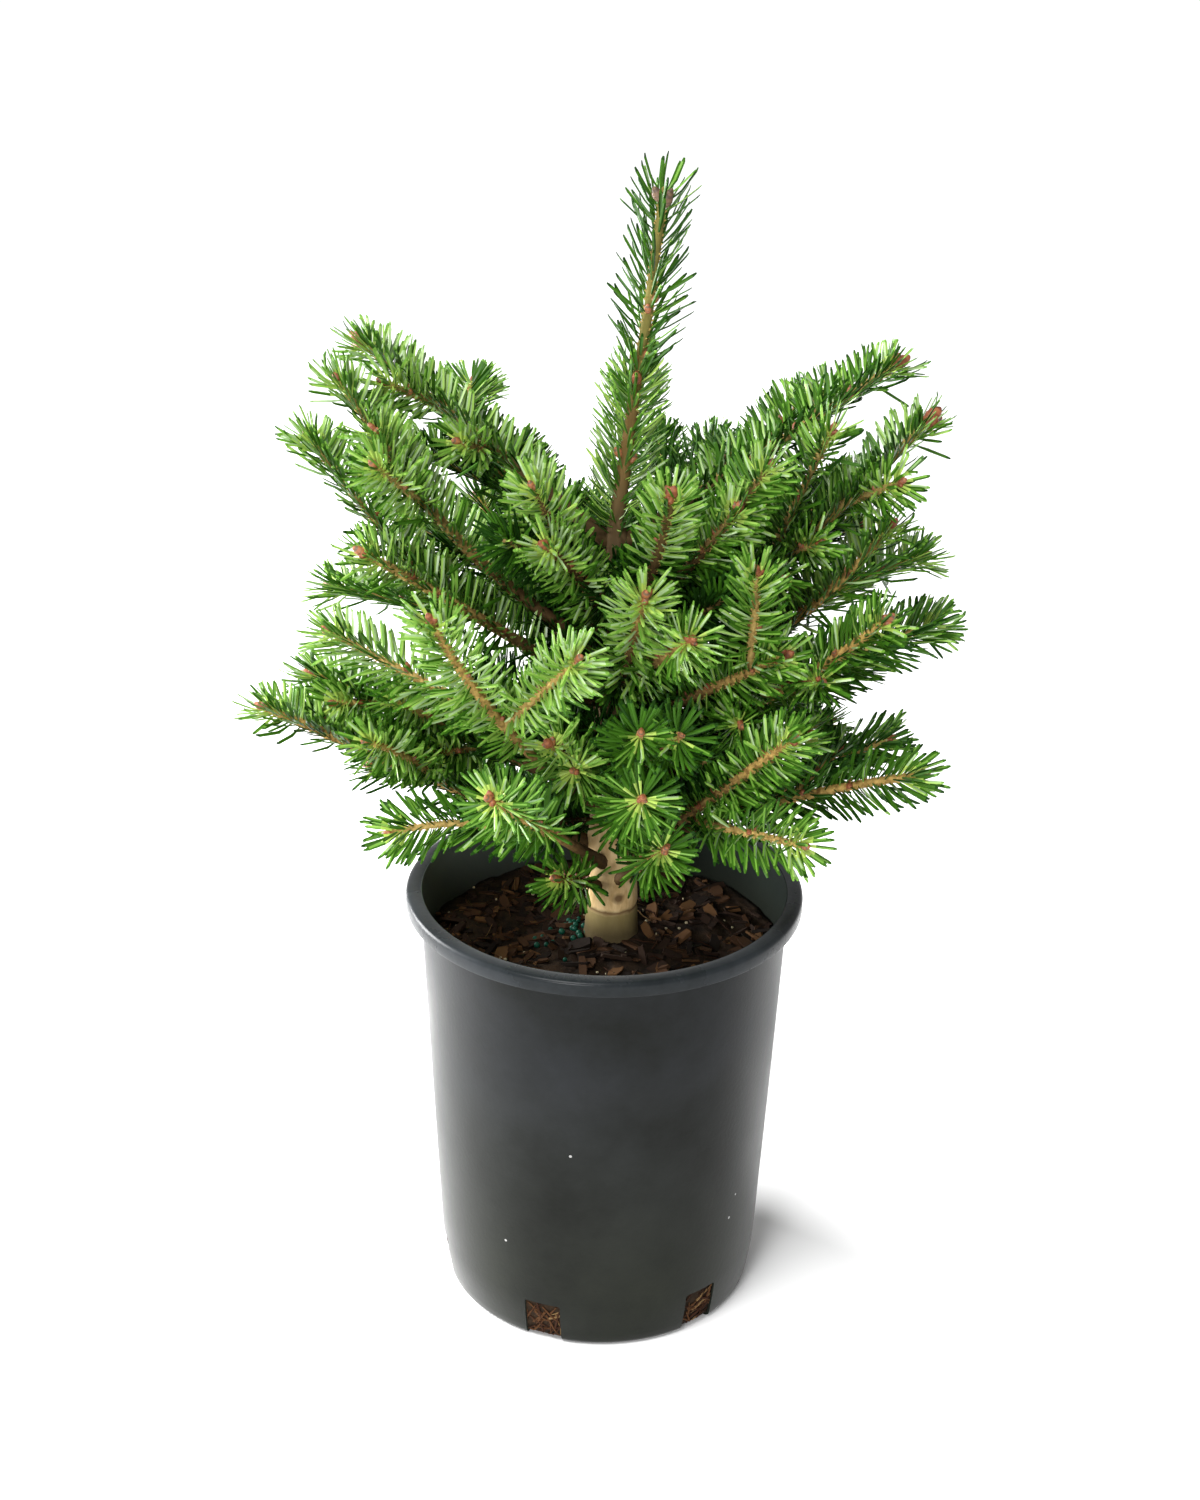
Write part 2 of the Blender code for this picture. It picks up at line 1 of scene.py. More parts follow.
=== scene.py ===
# Potted Nordmann fir: the looks of a young tree in a black nursery pot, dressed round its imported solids.
# Metres, +Z up, origin under the pot. Bearings are degrees in plan, and 270 is the tree's front, toward -Y.
import math

import bmesh
import bpy
import numpy as np
from mathutils import Matrix, Vector, noise


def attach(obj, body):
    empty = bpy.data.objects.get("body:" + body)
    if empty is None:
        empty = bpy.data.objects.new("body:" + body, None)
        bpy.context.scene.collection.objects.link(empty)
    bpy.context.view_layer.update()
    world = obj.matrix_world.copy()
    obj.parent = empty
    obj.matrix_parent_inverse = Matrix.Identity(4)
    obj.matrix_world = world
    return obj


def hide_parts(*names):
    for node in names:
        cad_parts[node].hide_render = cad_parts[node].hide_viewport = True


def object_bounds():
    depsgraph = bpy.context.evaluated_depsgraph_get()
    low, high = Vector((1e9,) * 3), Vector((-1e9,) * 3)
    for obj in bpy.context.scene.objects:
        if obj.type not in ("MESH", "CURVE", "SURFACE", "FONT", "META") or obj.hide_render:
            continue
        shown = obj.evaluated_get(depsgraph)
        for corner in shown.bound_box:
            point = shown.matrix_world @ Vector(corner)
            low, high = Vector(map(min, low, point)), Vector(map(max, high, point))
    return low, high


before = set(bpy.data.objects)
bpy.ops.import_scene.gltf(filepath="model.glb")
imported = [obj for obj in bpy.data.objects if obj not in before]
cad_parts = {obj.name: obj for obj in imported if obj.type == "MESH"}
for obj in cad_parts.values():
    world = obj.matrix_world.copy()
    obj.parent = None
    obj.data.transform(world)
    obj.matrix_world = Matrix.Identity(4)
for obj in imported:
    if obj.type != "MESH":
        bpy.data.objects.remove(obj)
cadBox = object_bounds()
print("frame loaded,", len(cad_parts), "solids")


# Small helpers

def faceCount(*pieces):
    return sum(len(piece.data.polygons) for piece in pieces)


def addObject(name, data):
    thing = bpy.data.objects.new(name, data)
    bpy.context.scene.collection.objects.link(thing)
    return thing


def addPiece(name, shape, nodes=(), finishes=()):
    mesh = meshFrom(shape, name) if isinstance(shape, bmesh.types.BMesh) else shape
    for finish in finishes:
        mesh.materials.append(finish)
    piece = addObject(name, mesh)
    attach(piece, "root")
    if nodes:
        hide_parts(*nodes)
    return piece


def meshFrom(bm, name):
    mesh = bpy.data.meshes.new(name)
    bm.to_mesh(mesh)
    bm.free()
    mesh.shade_smooth()
    return mesh


def sized(place, size, turn=Matrix.Identity(4)):
    return Matrix.Translation(Vector(place)) @ turn @ Matrix.Diagonal((*size, 1))


def turnTo(x, y, z):
    # The turn that takes the axes to these directions
    return Matrix((x, y, z)).transposed().to_4x4()


def spinProfile(profile, steps):
    bm = bmesh.new()
    verts = [bm.verts.new((radius, 0, height)) for radius, height in profile]
    edges = [bm.edges.new(pair) for pair in zip(verts, verts[1:])]
    bmesh.ops.spin(bm, geom=verts + edges, cent=(0, 0, 0), axis=(0, 0, 1), angle=math.tau, steps=steps,
                   use_merge=True)
    bmesh.ops.remove_doubles(bm, verts=bm.verts, dist=1e-6)
    bmesh.ops.dissolve_degenerate(bm, edges=bm.edges, dist=1e-7)
    bmesh.ops.recalc_face_normals(bm, faces=bm.faces)
    return bm


def stretchRing(bm, matrices):
    # Extrudes the ring that bm starts with from each matrix to the next, and closes both ends
    ring, edges, before = list(bm.verts), list(bm.edges), Matrix.Identity(4)
    for i, here in enumerate(matrices):
        if i:
            grown = bmesh.ops.extrude_edge_only(bm, edges=edges)["geom"]
            ring = [item for item in grown if isinstance(item, bmesh.types.BMVert)]
            known = set(ring)
            edges = [item for item in grown
                     if isinstance(item, bmesh.types.BMEdge) and known.issuperset(item.verts)]
        bmesh.ops.transform(bm, matrix=here @ before.inverted(), verts=ring)
        before = here
    bmesh.ops.holes_fill(bm, edges=bm.edges, sides=len(ring))
    bmesh.ops.recalc_face_normals(bm, faces=bm.faces)


def feed(tree, socket, value):
    # A socket takes the output of another node or a value of its own
    if isinstance(value, bpy.types.NodeSocket):
        tree.links.new(value, socket)
    else:
        socket.default_value = (*value, 1) if socket.type == "RGBA" else value


def addNode(tree, kind, inputs=None, **settings):
    node = tree.nodes.new(kind)
    for key, value in settings.items():
        setattr(node, key, value)
    for key, value in (inputs or {}).items():
        feed(tree, node.inputs[key], value)
    return node.outputs


def maths(tree, operation, *values):
    return addNode(tree, "ShaderNodeMath", dict(enumerate(values)), operation=operation)[0]


def vectorMaths(tree, operation, *values):
    return addNode(tree, "ShaderNodeVectorMath", dict(enumerate(values)), operation=operation)


def ranged(tree, value, start, end, least=0.0, most=1.0):
    inputs = {"Value": value, "From Min": start, "From Max": end, "To Min": least, "To Max": most}
    return addNode(tree, "ShaderNodeMapRange", inputs)["Result"]


def blended(tree, share, under, over, way="MIX"):
    return addNode(tree, "ShaderNodeMix", {0: share, 6: under, 7: over}, data_type="RGBA", blend_type=way)[2]


def tinted(tree, colour, tone, value, places, way="MIX"):
    # The colour with a tone that comes in between two places of a value
    return blended(tree, ranged(tree, value, *places), colour, tone, way)


def newMaterial(name, roughness, specular=0.5):
    material = bpy.data.materials.new(name)
    material.use_nodes = True
    surface = material.node_tree.nodes["Principled BSDF"].inputs
    surface["Roughness"].default_value = roughness
    surface["Specular IOR Level"].default_value = specular
    return material, material.node_tree, surface


def plainFinish(name, colour, roughness, specular=0.5):
    material, tree, surface = newMaterial(name, roughness, specular)
    feed(tree, surface["Base Color"], colour)
    return material


def plainFinishes(name, tones, roughness, specular=0.5):
    return [plainFinish(name + str(k), tone, roughness, specular) for k, tone in enumerate(tones)]


def relief(tree, surface, height, distance):
    bump = addNode(tree, "ShaderNodeBump", {"Height": height, "Distance": distance, "Strength": 1.0})
    feed(tree, surface["Normal"], bump["Normal"])


# Effects that several finishes share

def newGroup(name, inputs, outputs):
    # An input is given as its kind or, where it is a number, as its usual value
    group = bpy.data.node_groups.new(name, "ShaderNodeTree")
    for label, value in inputs.items():
        kind = value if isinstance(value, str) else "Float"
        socket = group.interface.new_socket(label, in_out="INPUT", socket_type="NodeSocket" + kind)
        if kind == "Float":
            socket.default_value = value
    for label, kind in outputs.items():
        group.interface.new_socket(label, in_out="OUTPUT", socket_type="NodeSocket" + kind)
    return group, group.nodes.new("NodeGroupInput").outputs, group.nodes.new("NodeGroupOutput").inputs


def makeMottle():
    group, given, out = newGroup(
        "mottle", dict(Vector="Vector", Scale=20.0, From=0.35, To=0.65, Dark="Color", Light="Color"),
        dict(Color="Color", Mask="Float", Height="Float"))
    inputs = dict(Vector=given["Vector"], Scale=given["Scale"], Detail=5.0, Roughness=0.6)
    cloud = addNode(group, "ShaderNodeTexNoise", inputs)["Fac"]
    mask = ranged(group, cloud, given["From"], given["To"])
    feed(group, out["Color"], blended(group, mask, given["Dark"], given["Light"]))
    feed(group, out["Mask"], mask)
    feed(group, out["Height"], cloud)
    return group


def makeSpecks():
    group, given, out = newGroup("specks", dict(Vector="Vector", Scale=60.0, Size=0.1, Share=0.2),
                                 dict(Mask="Float"))
    cells = addNode(group, "ShaderNodeTexVoronoi", dict(Vector=given["Vector"], Scale=given["Scale"]))
    dot = maths(group, "LESS_THAN", cells["Distance"], given["Size"])
    pick = addNode(group, "ShaderNodeSeparateColor", dict(Color=cells["Color"]))[0]
    some = maths(group, "LESS_THAN", pick, given["Share"])
    feed(group, out["Mask"], maths(group, "MULTIPLY", dot, some))
    return group


mottle = makeMottle()
specks = makeSpecks()


def useGroup(tree, group, **inputs):
    return addNode(tree, "ShaderNodeGroup", inputs, node_tree=group)


def objectSpot(tree):
    return addNode(tree, "ShaderNodeTexCoord")["Object"]


def axesOf(tree, spot):
    return addNode(tree, "ShaderNodeSeparateXYZ", dict(Vector=spot))


# Pot: thin moulded wall, turned-down rim, square drain notches

pot = dict(
    height=0.247, baseRadius=0.09, topRadius=0.1025, rimRadius=0.11, wall=0.0016, floor=0.003,
    rimHeight=0.0085, rimWall=0.0018, steps=192, footHeight=0.03, footDraw=0.003, footCurve=1.6,
    # how wide an edge is rounded, and in how many steps
    bottomRound=(0.004, 4), rimRound=(0.0026, 4), skirtRound=(0.0007, 2), mouthRound=(0.0006, 2),
    notchRound=(0.0012, 2),
    levels=(0.008, 0.015, 0.022, 0.03, 0.06, 0.09, 0.12, 0.15, 0.18, 0.21, 0.23),
    notches=6, notchBearing=250, notchWidth=0.021, notchHeight=0.027, notchDepth=0.01, sharpAngle=38,
    waviness=0.0003, waves=(14, 14, 9), wavesFrom=0.01,
    # how far the rim's finish and the inside's reach over the edges between them
    rimOver=(0.0005, 0.0008), insideOver=0.0006, insideFrom=0.002,
    # dark and light tones, and the least and most roughness
    finishes=dict(wall=((0.002, 0.003, 0.002), (0.013, 0.0148, 0.017), 0.3, 0.46),
                  rim=((0.007, 0.009, 0.0095), (0.024, 0.028, 0.032), 0.2, 0.38),
                  # the inside's tones are lighter than the wall's: painted light, as the inside lies in shade
                  inside=((0.01, 0.014, 0.012), (0.018, 0.024, 0.02), 0.6, 0.75)),
    sheen=0.2, sheenRoughness=0.35, specular=0.12, insideSpecular=0.04,
    cloudScale=12.0, rimCloudScale=22.0, cloudRange=dict(From=0.34, To=0.7),
    grainScale=420.0, grainRange=dict(From=0.2, To=0.8), grain=(0.93, 1.07), grainDepth=0.00006,
    # a colour, and the heights or places between which it comes in
    # toward -X the inside gets a lighter tone, as painted light on its shaded side
    warmth=((0.9, 0.94, 0.52), (0.19, 0.04)), paintedFillLeft=((0.08, 0.096, 0.085), (0.03, -0.09)),
    # low over the soil the inside gets a dark tone, as painted shade
    paintedShadeLow=((0.015, 0.017, 0.012), (0.238, 0.214, 0.0, 0.6)),
    dust=(0.36, 0.36, 0.35), dustSpecks=dict(Scale=55.0, Size=0.045, Share=0.22))


def wallRadius(height, inner=False):
    outer = pot["baseRadius"] + (pot["topRadius"] - pot["baseRadius"]) * height / pot["height"]
    outer -= pot["footDraw"] * max(0.0, 1 - height / pot["footHeight"]) ** pot["footCurve"]
    return outer - pot["wall"] if inner else outer


hair = 0.00001  # metres: places closer together than this count as one


def roundEdges(bm, edges, offset, segments):
    bmesh.ops.bevel(bm, geom=edges, offset=offset, segments=segments, affect="EDGES", profile=0.5)


def roundRing(bm, radius, height, offset, segments):
    ring = [edge for edge in bm.edges
            if all(abs(v.co.z - height) < hair and abs(v.co.xy.length - radius) < hair for v in edge.verts)]
    roundEdges(bm, ring, offset, segments)


def notchBearings():
    return [pot["notchBearing"] + 360 * i / pot["notches"] for i in range(pot["notches"])]


def cutNotches(piece):
    bm = bmesh.new()
    size = 2 * pot["notchDepth"], pot["notchWidth"], 2 * pot["notchHeight"]
    for bearing in notchBearings():
        turn = Matrix.Rotation(math.radians(bearing), 4, "Z")
        bmesh.ops.create_cube(bm, size=1.0, matrix=turn @ sized((pot["baseRadius"], 0, 0), size))
    upper = [edge for edge in bm.edges
             if min(v.co.z for v in edge.verts) > 0 and abs(edge.calc_length() - size[0]) < hair]
    roundEdges(bm, upper, *pot["notchRound"])
    cutter = addObject("notchCutter", meshFrom(bm, "notchCutter"))
    cut = piece.modifiers.new("notches", "BOOLEAN")
    cut.operation = "DIFFERENCE"
    cut.object = cutter
    bpy.context.view_layer.update()
    finished = bpy.data.meshes.new_from_object(piece.evaluated_get(bpy.context.evaluated_depsgraph_get()))
    piece.modifiers.clear()
    piece.data = finished
    bpy.data.objects.remove(cutter, do_unlink=True)
    finished.shade_smooth()
    finished.set_sharp_from_angle(angle=math.radians(pot["sharpAngle"]))


def potFinish(part):
    dark, light, smooth, rough = pot["finishes"][part]
    inside = part == "inside"
    material, tree, surface = newMaterial("potPlastic" + part.capitalize(), smooth,
                                          pot["insideSpecular" if inside else "specular"])
    surface["Sheen Weight"].default_value = 0.0 if inside else pot["sheen"]
    surface["Sheen Roughness"].default_value = pot["sheenRoughness"]
    spot = objectSpot(tree)
    axes = axesOf(tree, spot)
    scale = pot["rimCloudScale" if part == "rim" else "cloudScale"]
    broad = useGroup(tree, mottle, Vector=spot, Scale=scale, Dark=dark, Light=light, **pot["cloudRange"])
    least, most = pot["grain"]
    fine = useGroup(tree, mottle, Vector=spot, Scale=pot["grainScale"], Dark=(least,) * 3, Light=(most,) * 3,
                    **pot["grainRange"])
    colour = blended(tree, 1.0, broad["Color"], fine["Color"], "MULTIPLY")
    if part == "wall":
        tone, heights = pot["warmth"]
        colour = tinted(tree, colour, tone, axes["Z"], heights, "MULTIPLY")
    dusty = useGroup(tree, specks, Vector=spot, **pot["dustSpecks"])["Mask"]
    colour = blended(tree, dusty, colour, pot["dust"])
    if inside:  # painted light: the side toward -X, which the sun leaves in shade, is lighter, and low over the soil the wall gets painted shade
        for axis, change in (("X", "paintedFillLeft"), ("Z", "paintedShadeLow")):
            tone, places = pot[change]
            colour = tinted(tree, colour, tone, axes[axis], places)
    feed(tree, surface["Base Color"], colour)
    feed(tree, surface["Roughness"], ranged(tree, broad["Mask"], 0.0, 1.0, smooth, rough))
    relief(tree, surface, fine["Height"], pot["grainDepth"])
    return material


def makePot():
    top, rim, levels = pot["height"], pot["rimRadius"], pot["levels"]
    underRim, lipFoot, skirt = top - pot["rimWall"], top - pot["rimHeight"], rim - pot["rimWall"]
    profile = [(0, 0), (wallRadius(0), 0)] + [(wallRadius(level), level) for level in levels]
    profile += [(wallRadius(underRim), underRim), (skirt, underRim), (skirt, lipFoot), (rim, lipFoot),
                (rim, top), (wallRadius(top, True), top)]
    profile += [(wallRadius(level, True), level) for level in reversed(levels)]
    profile += [(wallRadius(pot["floor"], True), pot["floor"]), (0, pot["floor"])]
    bm = spinProfile(profile, pot["steps"])
    for radius, height, edge in ((wallRadius(0), 0, "bottomRound"), (rim, top, "rimRound"),
                                 (rim, lipFoot, "skirtRound"), (wallRadius(top, True), top, "mouthRound")):
        roundRing(bm, radius, height, *pot[edge])
    for v in bm.verts:
        if v.co.z > pot["wavesFrom"]:  # a thin moulding is never quite true
            out = Vector((v.co.x, v.co.y, 0)).normalized()
            v.co += out * noise.noise(v.co * Vector(pot["waves"])) * pot["waviness"]
    piece = addPiece("pot_moulded", bm, ["pot"])
    cutNotches(piece)
    for part in pot["finishes"]:
        piece.data.materials.append(potFinish(part))
    under, over = pot["rimOver"]
    for face in piece.data.polygons:
        height, radius = face.center.z, face.center.xy.length
        if height > lipFoot - under and radius > wallRadius(height) - over:
            face.material_index = 1
        elif height > pot["insideFrom"] and radius < wallRadius(height, True) + pot["insideOver"]:
            face.material_index = 2
    return piece


potPiece = makePot()
print("pot made,", faceCount(potPiece), "faces")


# Growth: the survey of the tree and the rule that its shoots follow

trunk = dict(
    # height, how far it leans to the right, radius
    stations=((0.2065, 0.004, 0.017), (0.2123, 0.004, 0.0165), (0.221, 0.004, 0.0149),
              (0.235, 0.004, 0.0142), (0.2366, 0.004, 0.0138), (0.2392, 0.004, 0.0145),
              (0.262, 0.0039, 0.0134), (0.33, 0.0036, 0.011), (0.4, 0.0033, 0.0084), (0.446, 0.0031, 0.0062),
              (0.462, 0.003, 0.0042), (0.534, 0.0113, 0.0027), (0.574, 0.017, 0.0025),
              (0.626, 0.0222, 0.0021), (0.634, 0.0231, 0.0012)),
    axis=0.004, ringPitch=0.002, sides=40, collar=0.0017, collarReach=0.0065, collarPlace=1.05,
    thinFrom=0.01, furrowNoise=(0.8, 2.1, 4), roughness=0.00032, furrows=(170, 170, 45), scars=(60, 60, 420),
    furrowShare=0.7, scarShare=0.5,
    # colour, the heights between which it comes in, its least and its most share
    # toward the soil the trunk is darker
    steps=(("olive", 0.2392, 0.2345, 0, 0.92), ("darkTowardSoil", 0.2345, 0.2225, 0, 0.88),
           # inside the crown the trunk is darker: painted shade
           ("paintedShadeTrunk", 0.25, 0.32, 0, 0.94), ("leaderFoot", 0.465, 0.492, 0, 0.94),
           ("leader", 0.52, 0.555, 0, 0.94)),
    grainScale=190.0, grainStretch=(1, 1, 0.35), grainDepth=0.0004, wavyScale=130.0, wavyDetail=3.0,
    wavy=0.0018, barkRoughness=0.78,
    # where the crease above the soil and the scar over it are, and how far they reach
    crease=0.2366, creaseFade=(0.0002, 0.0016, 0.85, 0.0), scar=(0.0075, -0.013, 0.246),
    scarFade=(0.0018, 0.0042, 0.9, 0.0))


def bough(foot, bearing, rise, lift, length, bare, fresh, *sides, **habit):
    # foot is the height on the trunk, rise the slope, lift its change by the tip, bare the limb's share,
    # and the number after it how light the needles are: partly their own young green, partly painted light or
    # shade for where the bough stands. Each side shoot has its place, bearing, rise, lift and length.
    return dict(foot=foot, bearing=bearing, rise=rise, lift=lift, length=length, bare=bare, fresh=fresh,
                sides=sides, **habit)


# parting is how far down each side the needles stand, facing how far they turn to the front, crowding their
# share of the usual number, and buds the size of those at the tip, where it isn't the usual one
boughs = dict(
    upper_left=bough(0.446, 165, 35, 0, 0.169, 0.36, 0.64, (0.62, 85, 8, 0, 0.049), buds=1.7),
    left_high=bough(0.385, 194, 31, 30, 0.184, 0.4, 0.66, (0.7, 165, 50, 5, 0.083), (0.7, 230, 41, 0, 0.055)),
    left_mid=bough(0.358, 199, 38, -4, 0.167, 0.4, 0.62, (0.72, 156, 41, 8, 0.105), (0.55, 157, 3, 0, 0.088)),
    left_front=bough(0.292, 228, 36, 24, 0.204, 0.46, 0.7, (0.57, 173, 27, 0, 0.101),
        (0.57, 307, 43, 0, 0.084), parting=128, needlesFrom=0.48),
    left_low=bough(0.268, 183, 24, 2, 0.206, 0.4, 0.54, (0.5, 229, 48, -20, 0.068), (0.58, 140, 16, 0, 0.06)),
    left_back_low=bough(0.297, 168, 22, -6, 0.18, 0.4, 0.46, (0.5, 228, 37, 0, 0.063)),
    front_left_low=bough(0.258, 243, 36, 0, 0.167, 0.32, 0.42, (0.4, 193, 28, -38, 0.097), parting=160,
        sideParting=90, facing=1.0, needlesFrom=0.5, crowding=0.78),
    right_front_low=bough(0.258, 318, 43, 2, 0.166, 0.32, 0.48, (0.6, 345, 41, 0, 0.061),
        (0.42, 314, 10, 0, 0.085), parting=132, sideParting=150, crowding=0.88),
    right_low=bough(0.262, 349, 33, -20, 0.179, 0.36, 0.26, (0.45, 13, 30, -12, 0.089), parting=88,
        facing=0.9, crowding=0.74),
    right_mid=bough(0.325, 340, 24, 22, 0.178, 0.38, 0.38, (0.55, 23, 20, -8, 0.104), (0.48, 43, 2, 0, 0.092),
        parting=84, facing=0.5),
    right_high=bough(0.355, 358, 18, 38, 0.18, 0.45, 0.6, (0.73, 25, 13, 0, 0.058)),
    upper_right=bough(0.446, 12, 31, 2, 0.172, 0.34, 0.36, (0.5, 58, 20, 0, 0.055), buds=1.8),
    right_upper=bough(0.375, 0, 33, 18, 0.211, 0.36, 0.46, (0.45, 351, 68, 0, 0.087), (0.55, 48, 26, 0, 0.06),
        buds=2.2),
    front_right_high=bough(0.4, 330, 41, 16, 0.105, 0.3, 0.5, (0.45, 344, 50, 10, 0.083), parting=128),
    back_left_high=bough(0.405, 136, 32, 6, 0.15, 0.34, 0.34, (0.5, 98, 14, 0, 0.058),
        (0.6, 175, 24, 0, 0.062)),
    back_right_high=bough(0.43, 56, 27, 0, 0.108, 0.34, 0.34, (0.5, 18, 22, 0, 0.05), (0.5, 95, 20, 0, 0.06),
        parting=140),
    back_left_mid=bough(0.345, 121, 26, 4, 0.175, 0.34, 0.36, (0.5, 85, 24, 0, 0.08),
        (0.6, 160, 22, 0, 0.075)),
    back_right_mid=bough(0.36, 36, 28, 6, 0.175, 0.36, 0.36, (0.55, 72, 26, 0, 0.08),
        (0.65, 5, 22, 0, 0.058)),
    back_mid=bough(0.315, 78, 22, 4, 0.175, 0.34, 0.38, (0.5, 45, 20, 0, 0.08), (0.5, 112, 20, 0, 0.08)),
    back_left_low=bough(0.262, 150, 14, 2, 0.17, 0.36, 0.34, (0.5, 115, 14, 0, 0.075),
        (0.6, 185, 10, 0, 0.05)),
    back_right_low=bough(0.268, 50, 18, 0, 0.17, 0.34, 0.34, (0.5, 15, 14, 0, 0.075),
        (0.55, 85, 16, 0, 0.07)),
    back_high=bough(0.386, 97, 14, 6, 0.135, 0, 0.34, (0.45, 60, 14, 0, 0.06), (0.5, 135, 12, 0, 0.055)),
    back_low=bough(0.255, 104, 16, 0, 0.15, 0, 0.34, (0.45, 72, 12, 0, 0.07), (0.5, 138, 12, 0, 0.065)),
    left_inner=bough(0.305, 239, 39, 0, 0.082, 0, 0.74, (0.5, 262, 23, 0, 0.036), parting=165),
    front_left_foot=bough(0.243, 238, 36, -12, 0.064, 0, 0.52, parting=140, needlesFrom=0.45),
    front_mid=bough(0.283, 278, 33, 0, 0.12, 0, 0.4, parting=180, buds=1.0, needlesFrom=0.24, crowding=0.86),
    front_foot=bough(0.248, 287, 36, 0, 0.11, 0, 0.4, parting=170, needlesFrom=0.5, crowding=0.86),
    front_fork=bough(0.308, 291, 37, 0, 0.114, 0, 0.28, (0.24, 274, 38, 0, 0.09), parting=175, buds=0.7,
        needlesFrom=0.3),
    right_front=bough(0.34, 327, 34, 0, 0.122, 0, 0.5, (0.82, 269, 70, 5, 0.063), parting=128),
    front_right_mid=bough(0.365, 292, 34, 0, 0.118, 0, 0.58, parting=130),
    front_right_top=bough(0.4, 298, 43, 30, 0.107, 0, 0.58, parting=130, buds=1.7),
    front_high=bough(0.355, 279, 46, 4, 0.129, 0, 0.82, parting=130, buds=1.4),
    front_left_high=bough(0.395, 239, 56, -20, 0.101, 0, 0.8, (0.4, 218, 60, 0, 0.076), parting=130))

growth = dict(
    seed=41, pathSteps=24, wobble=0.0011, wobbleWaves=(5, 8), phases=(0, 6), steepFrom=0.985,
    mainRadii=(0.004, 0.0031, 0.0021), sideRadii=(0.0021, 0.0021, 0.0016), boxMargin=0.01, goldenAngle=137.5,
    # where the needles start: on a bough, from its bare share, on a side shoot and on a short one
    needlesFrom=(0.12, 0.45), sideFrom=0.1, shortFrom=0.08, shortSide=0.05,
    # finer twigs on the longer boughs
    twigletFrom=0.1, twigletPitch=0.034, twigletShare=0.5, twigletPlaces=(0.26, 0.56),
    twigletStray=(0.2, 0.8), twigletLengths=(0.024, 0.042), twigletTurn=52, twigletTurns=(-10, 14),
    twigletRise=0.75, twigletRises=(-8, 8),
    # short shaded sprays between the whorls
    innerCount=50, innerHeights=(0.272, 0.436), innerLengths=(0.05, 0.098), innerRises=(10, 42),
    # the inner sprays' needles are kept dark, as painted shade deep in the crown
    innerLifts=(-6, 10), innerBearing=20, innerFront=(225, 315, 0.45), innerFreshAndLit=0.02, innerNeedlesFrom=0.2,
    innerFoot=1.3)
dice = np.random.default_rng(growth["seed"])


def heading(bearing, rise):
    bearing, rise = math.radians(bearing), math.radians(rise)
    return np.array((math.cos(rise) * math.cos(bearing), math.cos(rise) * math.sin(bearing), math.sin(rise)))


def unit(vectors):
    return vectors / np.linalg.norm(vectors, axis=-1, keepdims=True)


def squareTo(vectors, aim):
    # What is left of vectors at right angles to aim
    return vectors - aim * np.sum(vectors * aim, axis=-1, keepdims=True)


def turned(first, second, angle):
    # Directions turned by an angle from the first toward the second
    return np.cos(angle)[..., None] * first + np.sin(angle)[..., None] * second


def pathFrom(start, bearing, rise, lift, length):
    steps = growth["pathSteps"]
    points = [np.array(start, float)]
    for i in range(steps):
        points.append(points[-1] + heading(bearing, rise + lift * (i + 0.5) / steps) * length / steps)
    points = np.array(points)
    shares = np.linspace(0, 1, steps + 1)[:, None]
    across = unit(np.cross(points[-1] - points[0], (0, 0, 1)))
    waves, start, end = [dice.uniform(*growth[key]) for key in ("wobbleWaves", "phases", "phases")]
    sway = np.sin(shares * waves + start) - np.sin(end)
    return points + across * sway * shares * (1 - shares) * 2 * growth["wobble"]


def trunkRadius(height):
    heights, leans, radii = zip(*trunk["stations"])
    return np.interp(height, heights, radii)


def trunkAt(height):
    heights, leans, radii = zip(*trunk["stations"])
    return np.array((np.interp(height, heights, leans), 0, height))


def along(points, shares):
    place = np.clip(shares, 0, 1) * (len(points) - 1)
    low = np.minimum(place.astype(int), len(points) - 2)
    rest = (place - low)[:, None]
    return points[low] * (1 - rest) + points[low + 1] * rest


def framesAlong(points, shares):
    # Places on a path, with the directions forward, up and to the side there
    step = 0.5 / (len(points) - 1)
    forward = unit(along(points, shares + step) - along(points, shares - step))
    up = np.array((0, 0, 1.0)) - forward * forward[:, 2:3]
    steep = np.abs(forward[:, 2]) > growth["steepFrom"]
    up[steep] = np.array((1.0, 0, 0)) - forward[steep] * forward[steep][:, 0:1]
    up = unit(up)
    return along(points, shares), forward, up, np.cross(forward, up)


def sideShoots(name, row):
    sides = list(row["sides"])
    if row["length"] > growth["twigletFrom"] and "front" not in name:
        # finer twigs, carried on by the same rule
        count = int(growth["twigletShare"] * row["length"] / growth["twigletPitch"])
        first, reach = growth["twigletPlaces"]
        for k in range(count):
            place = first + reach * (k + dice.uniform(*growth["twigletStray"])) / count
            turn = growth["twigletTurn"] + dice.uniform(*growth["twigletTurns"])
            turn *= 1 if (k + len(sides)) % 2 else -1
            rise = row["rise"] * growth["twigletRise"] + dice.uniform(*growth["twigletRises"])
            sides.append((place, row["bearing"] + turn, rise, 0, dice.uniform(*growth["twigletLengths"])))
    return sides


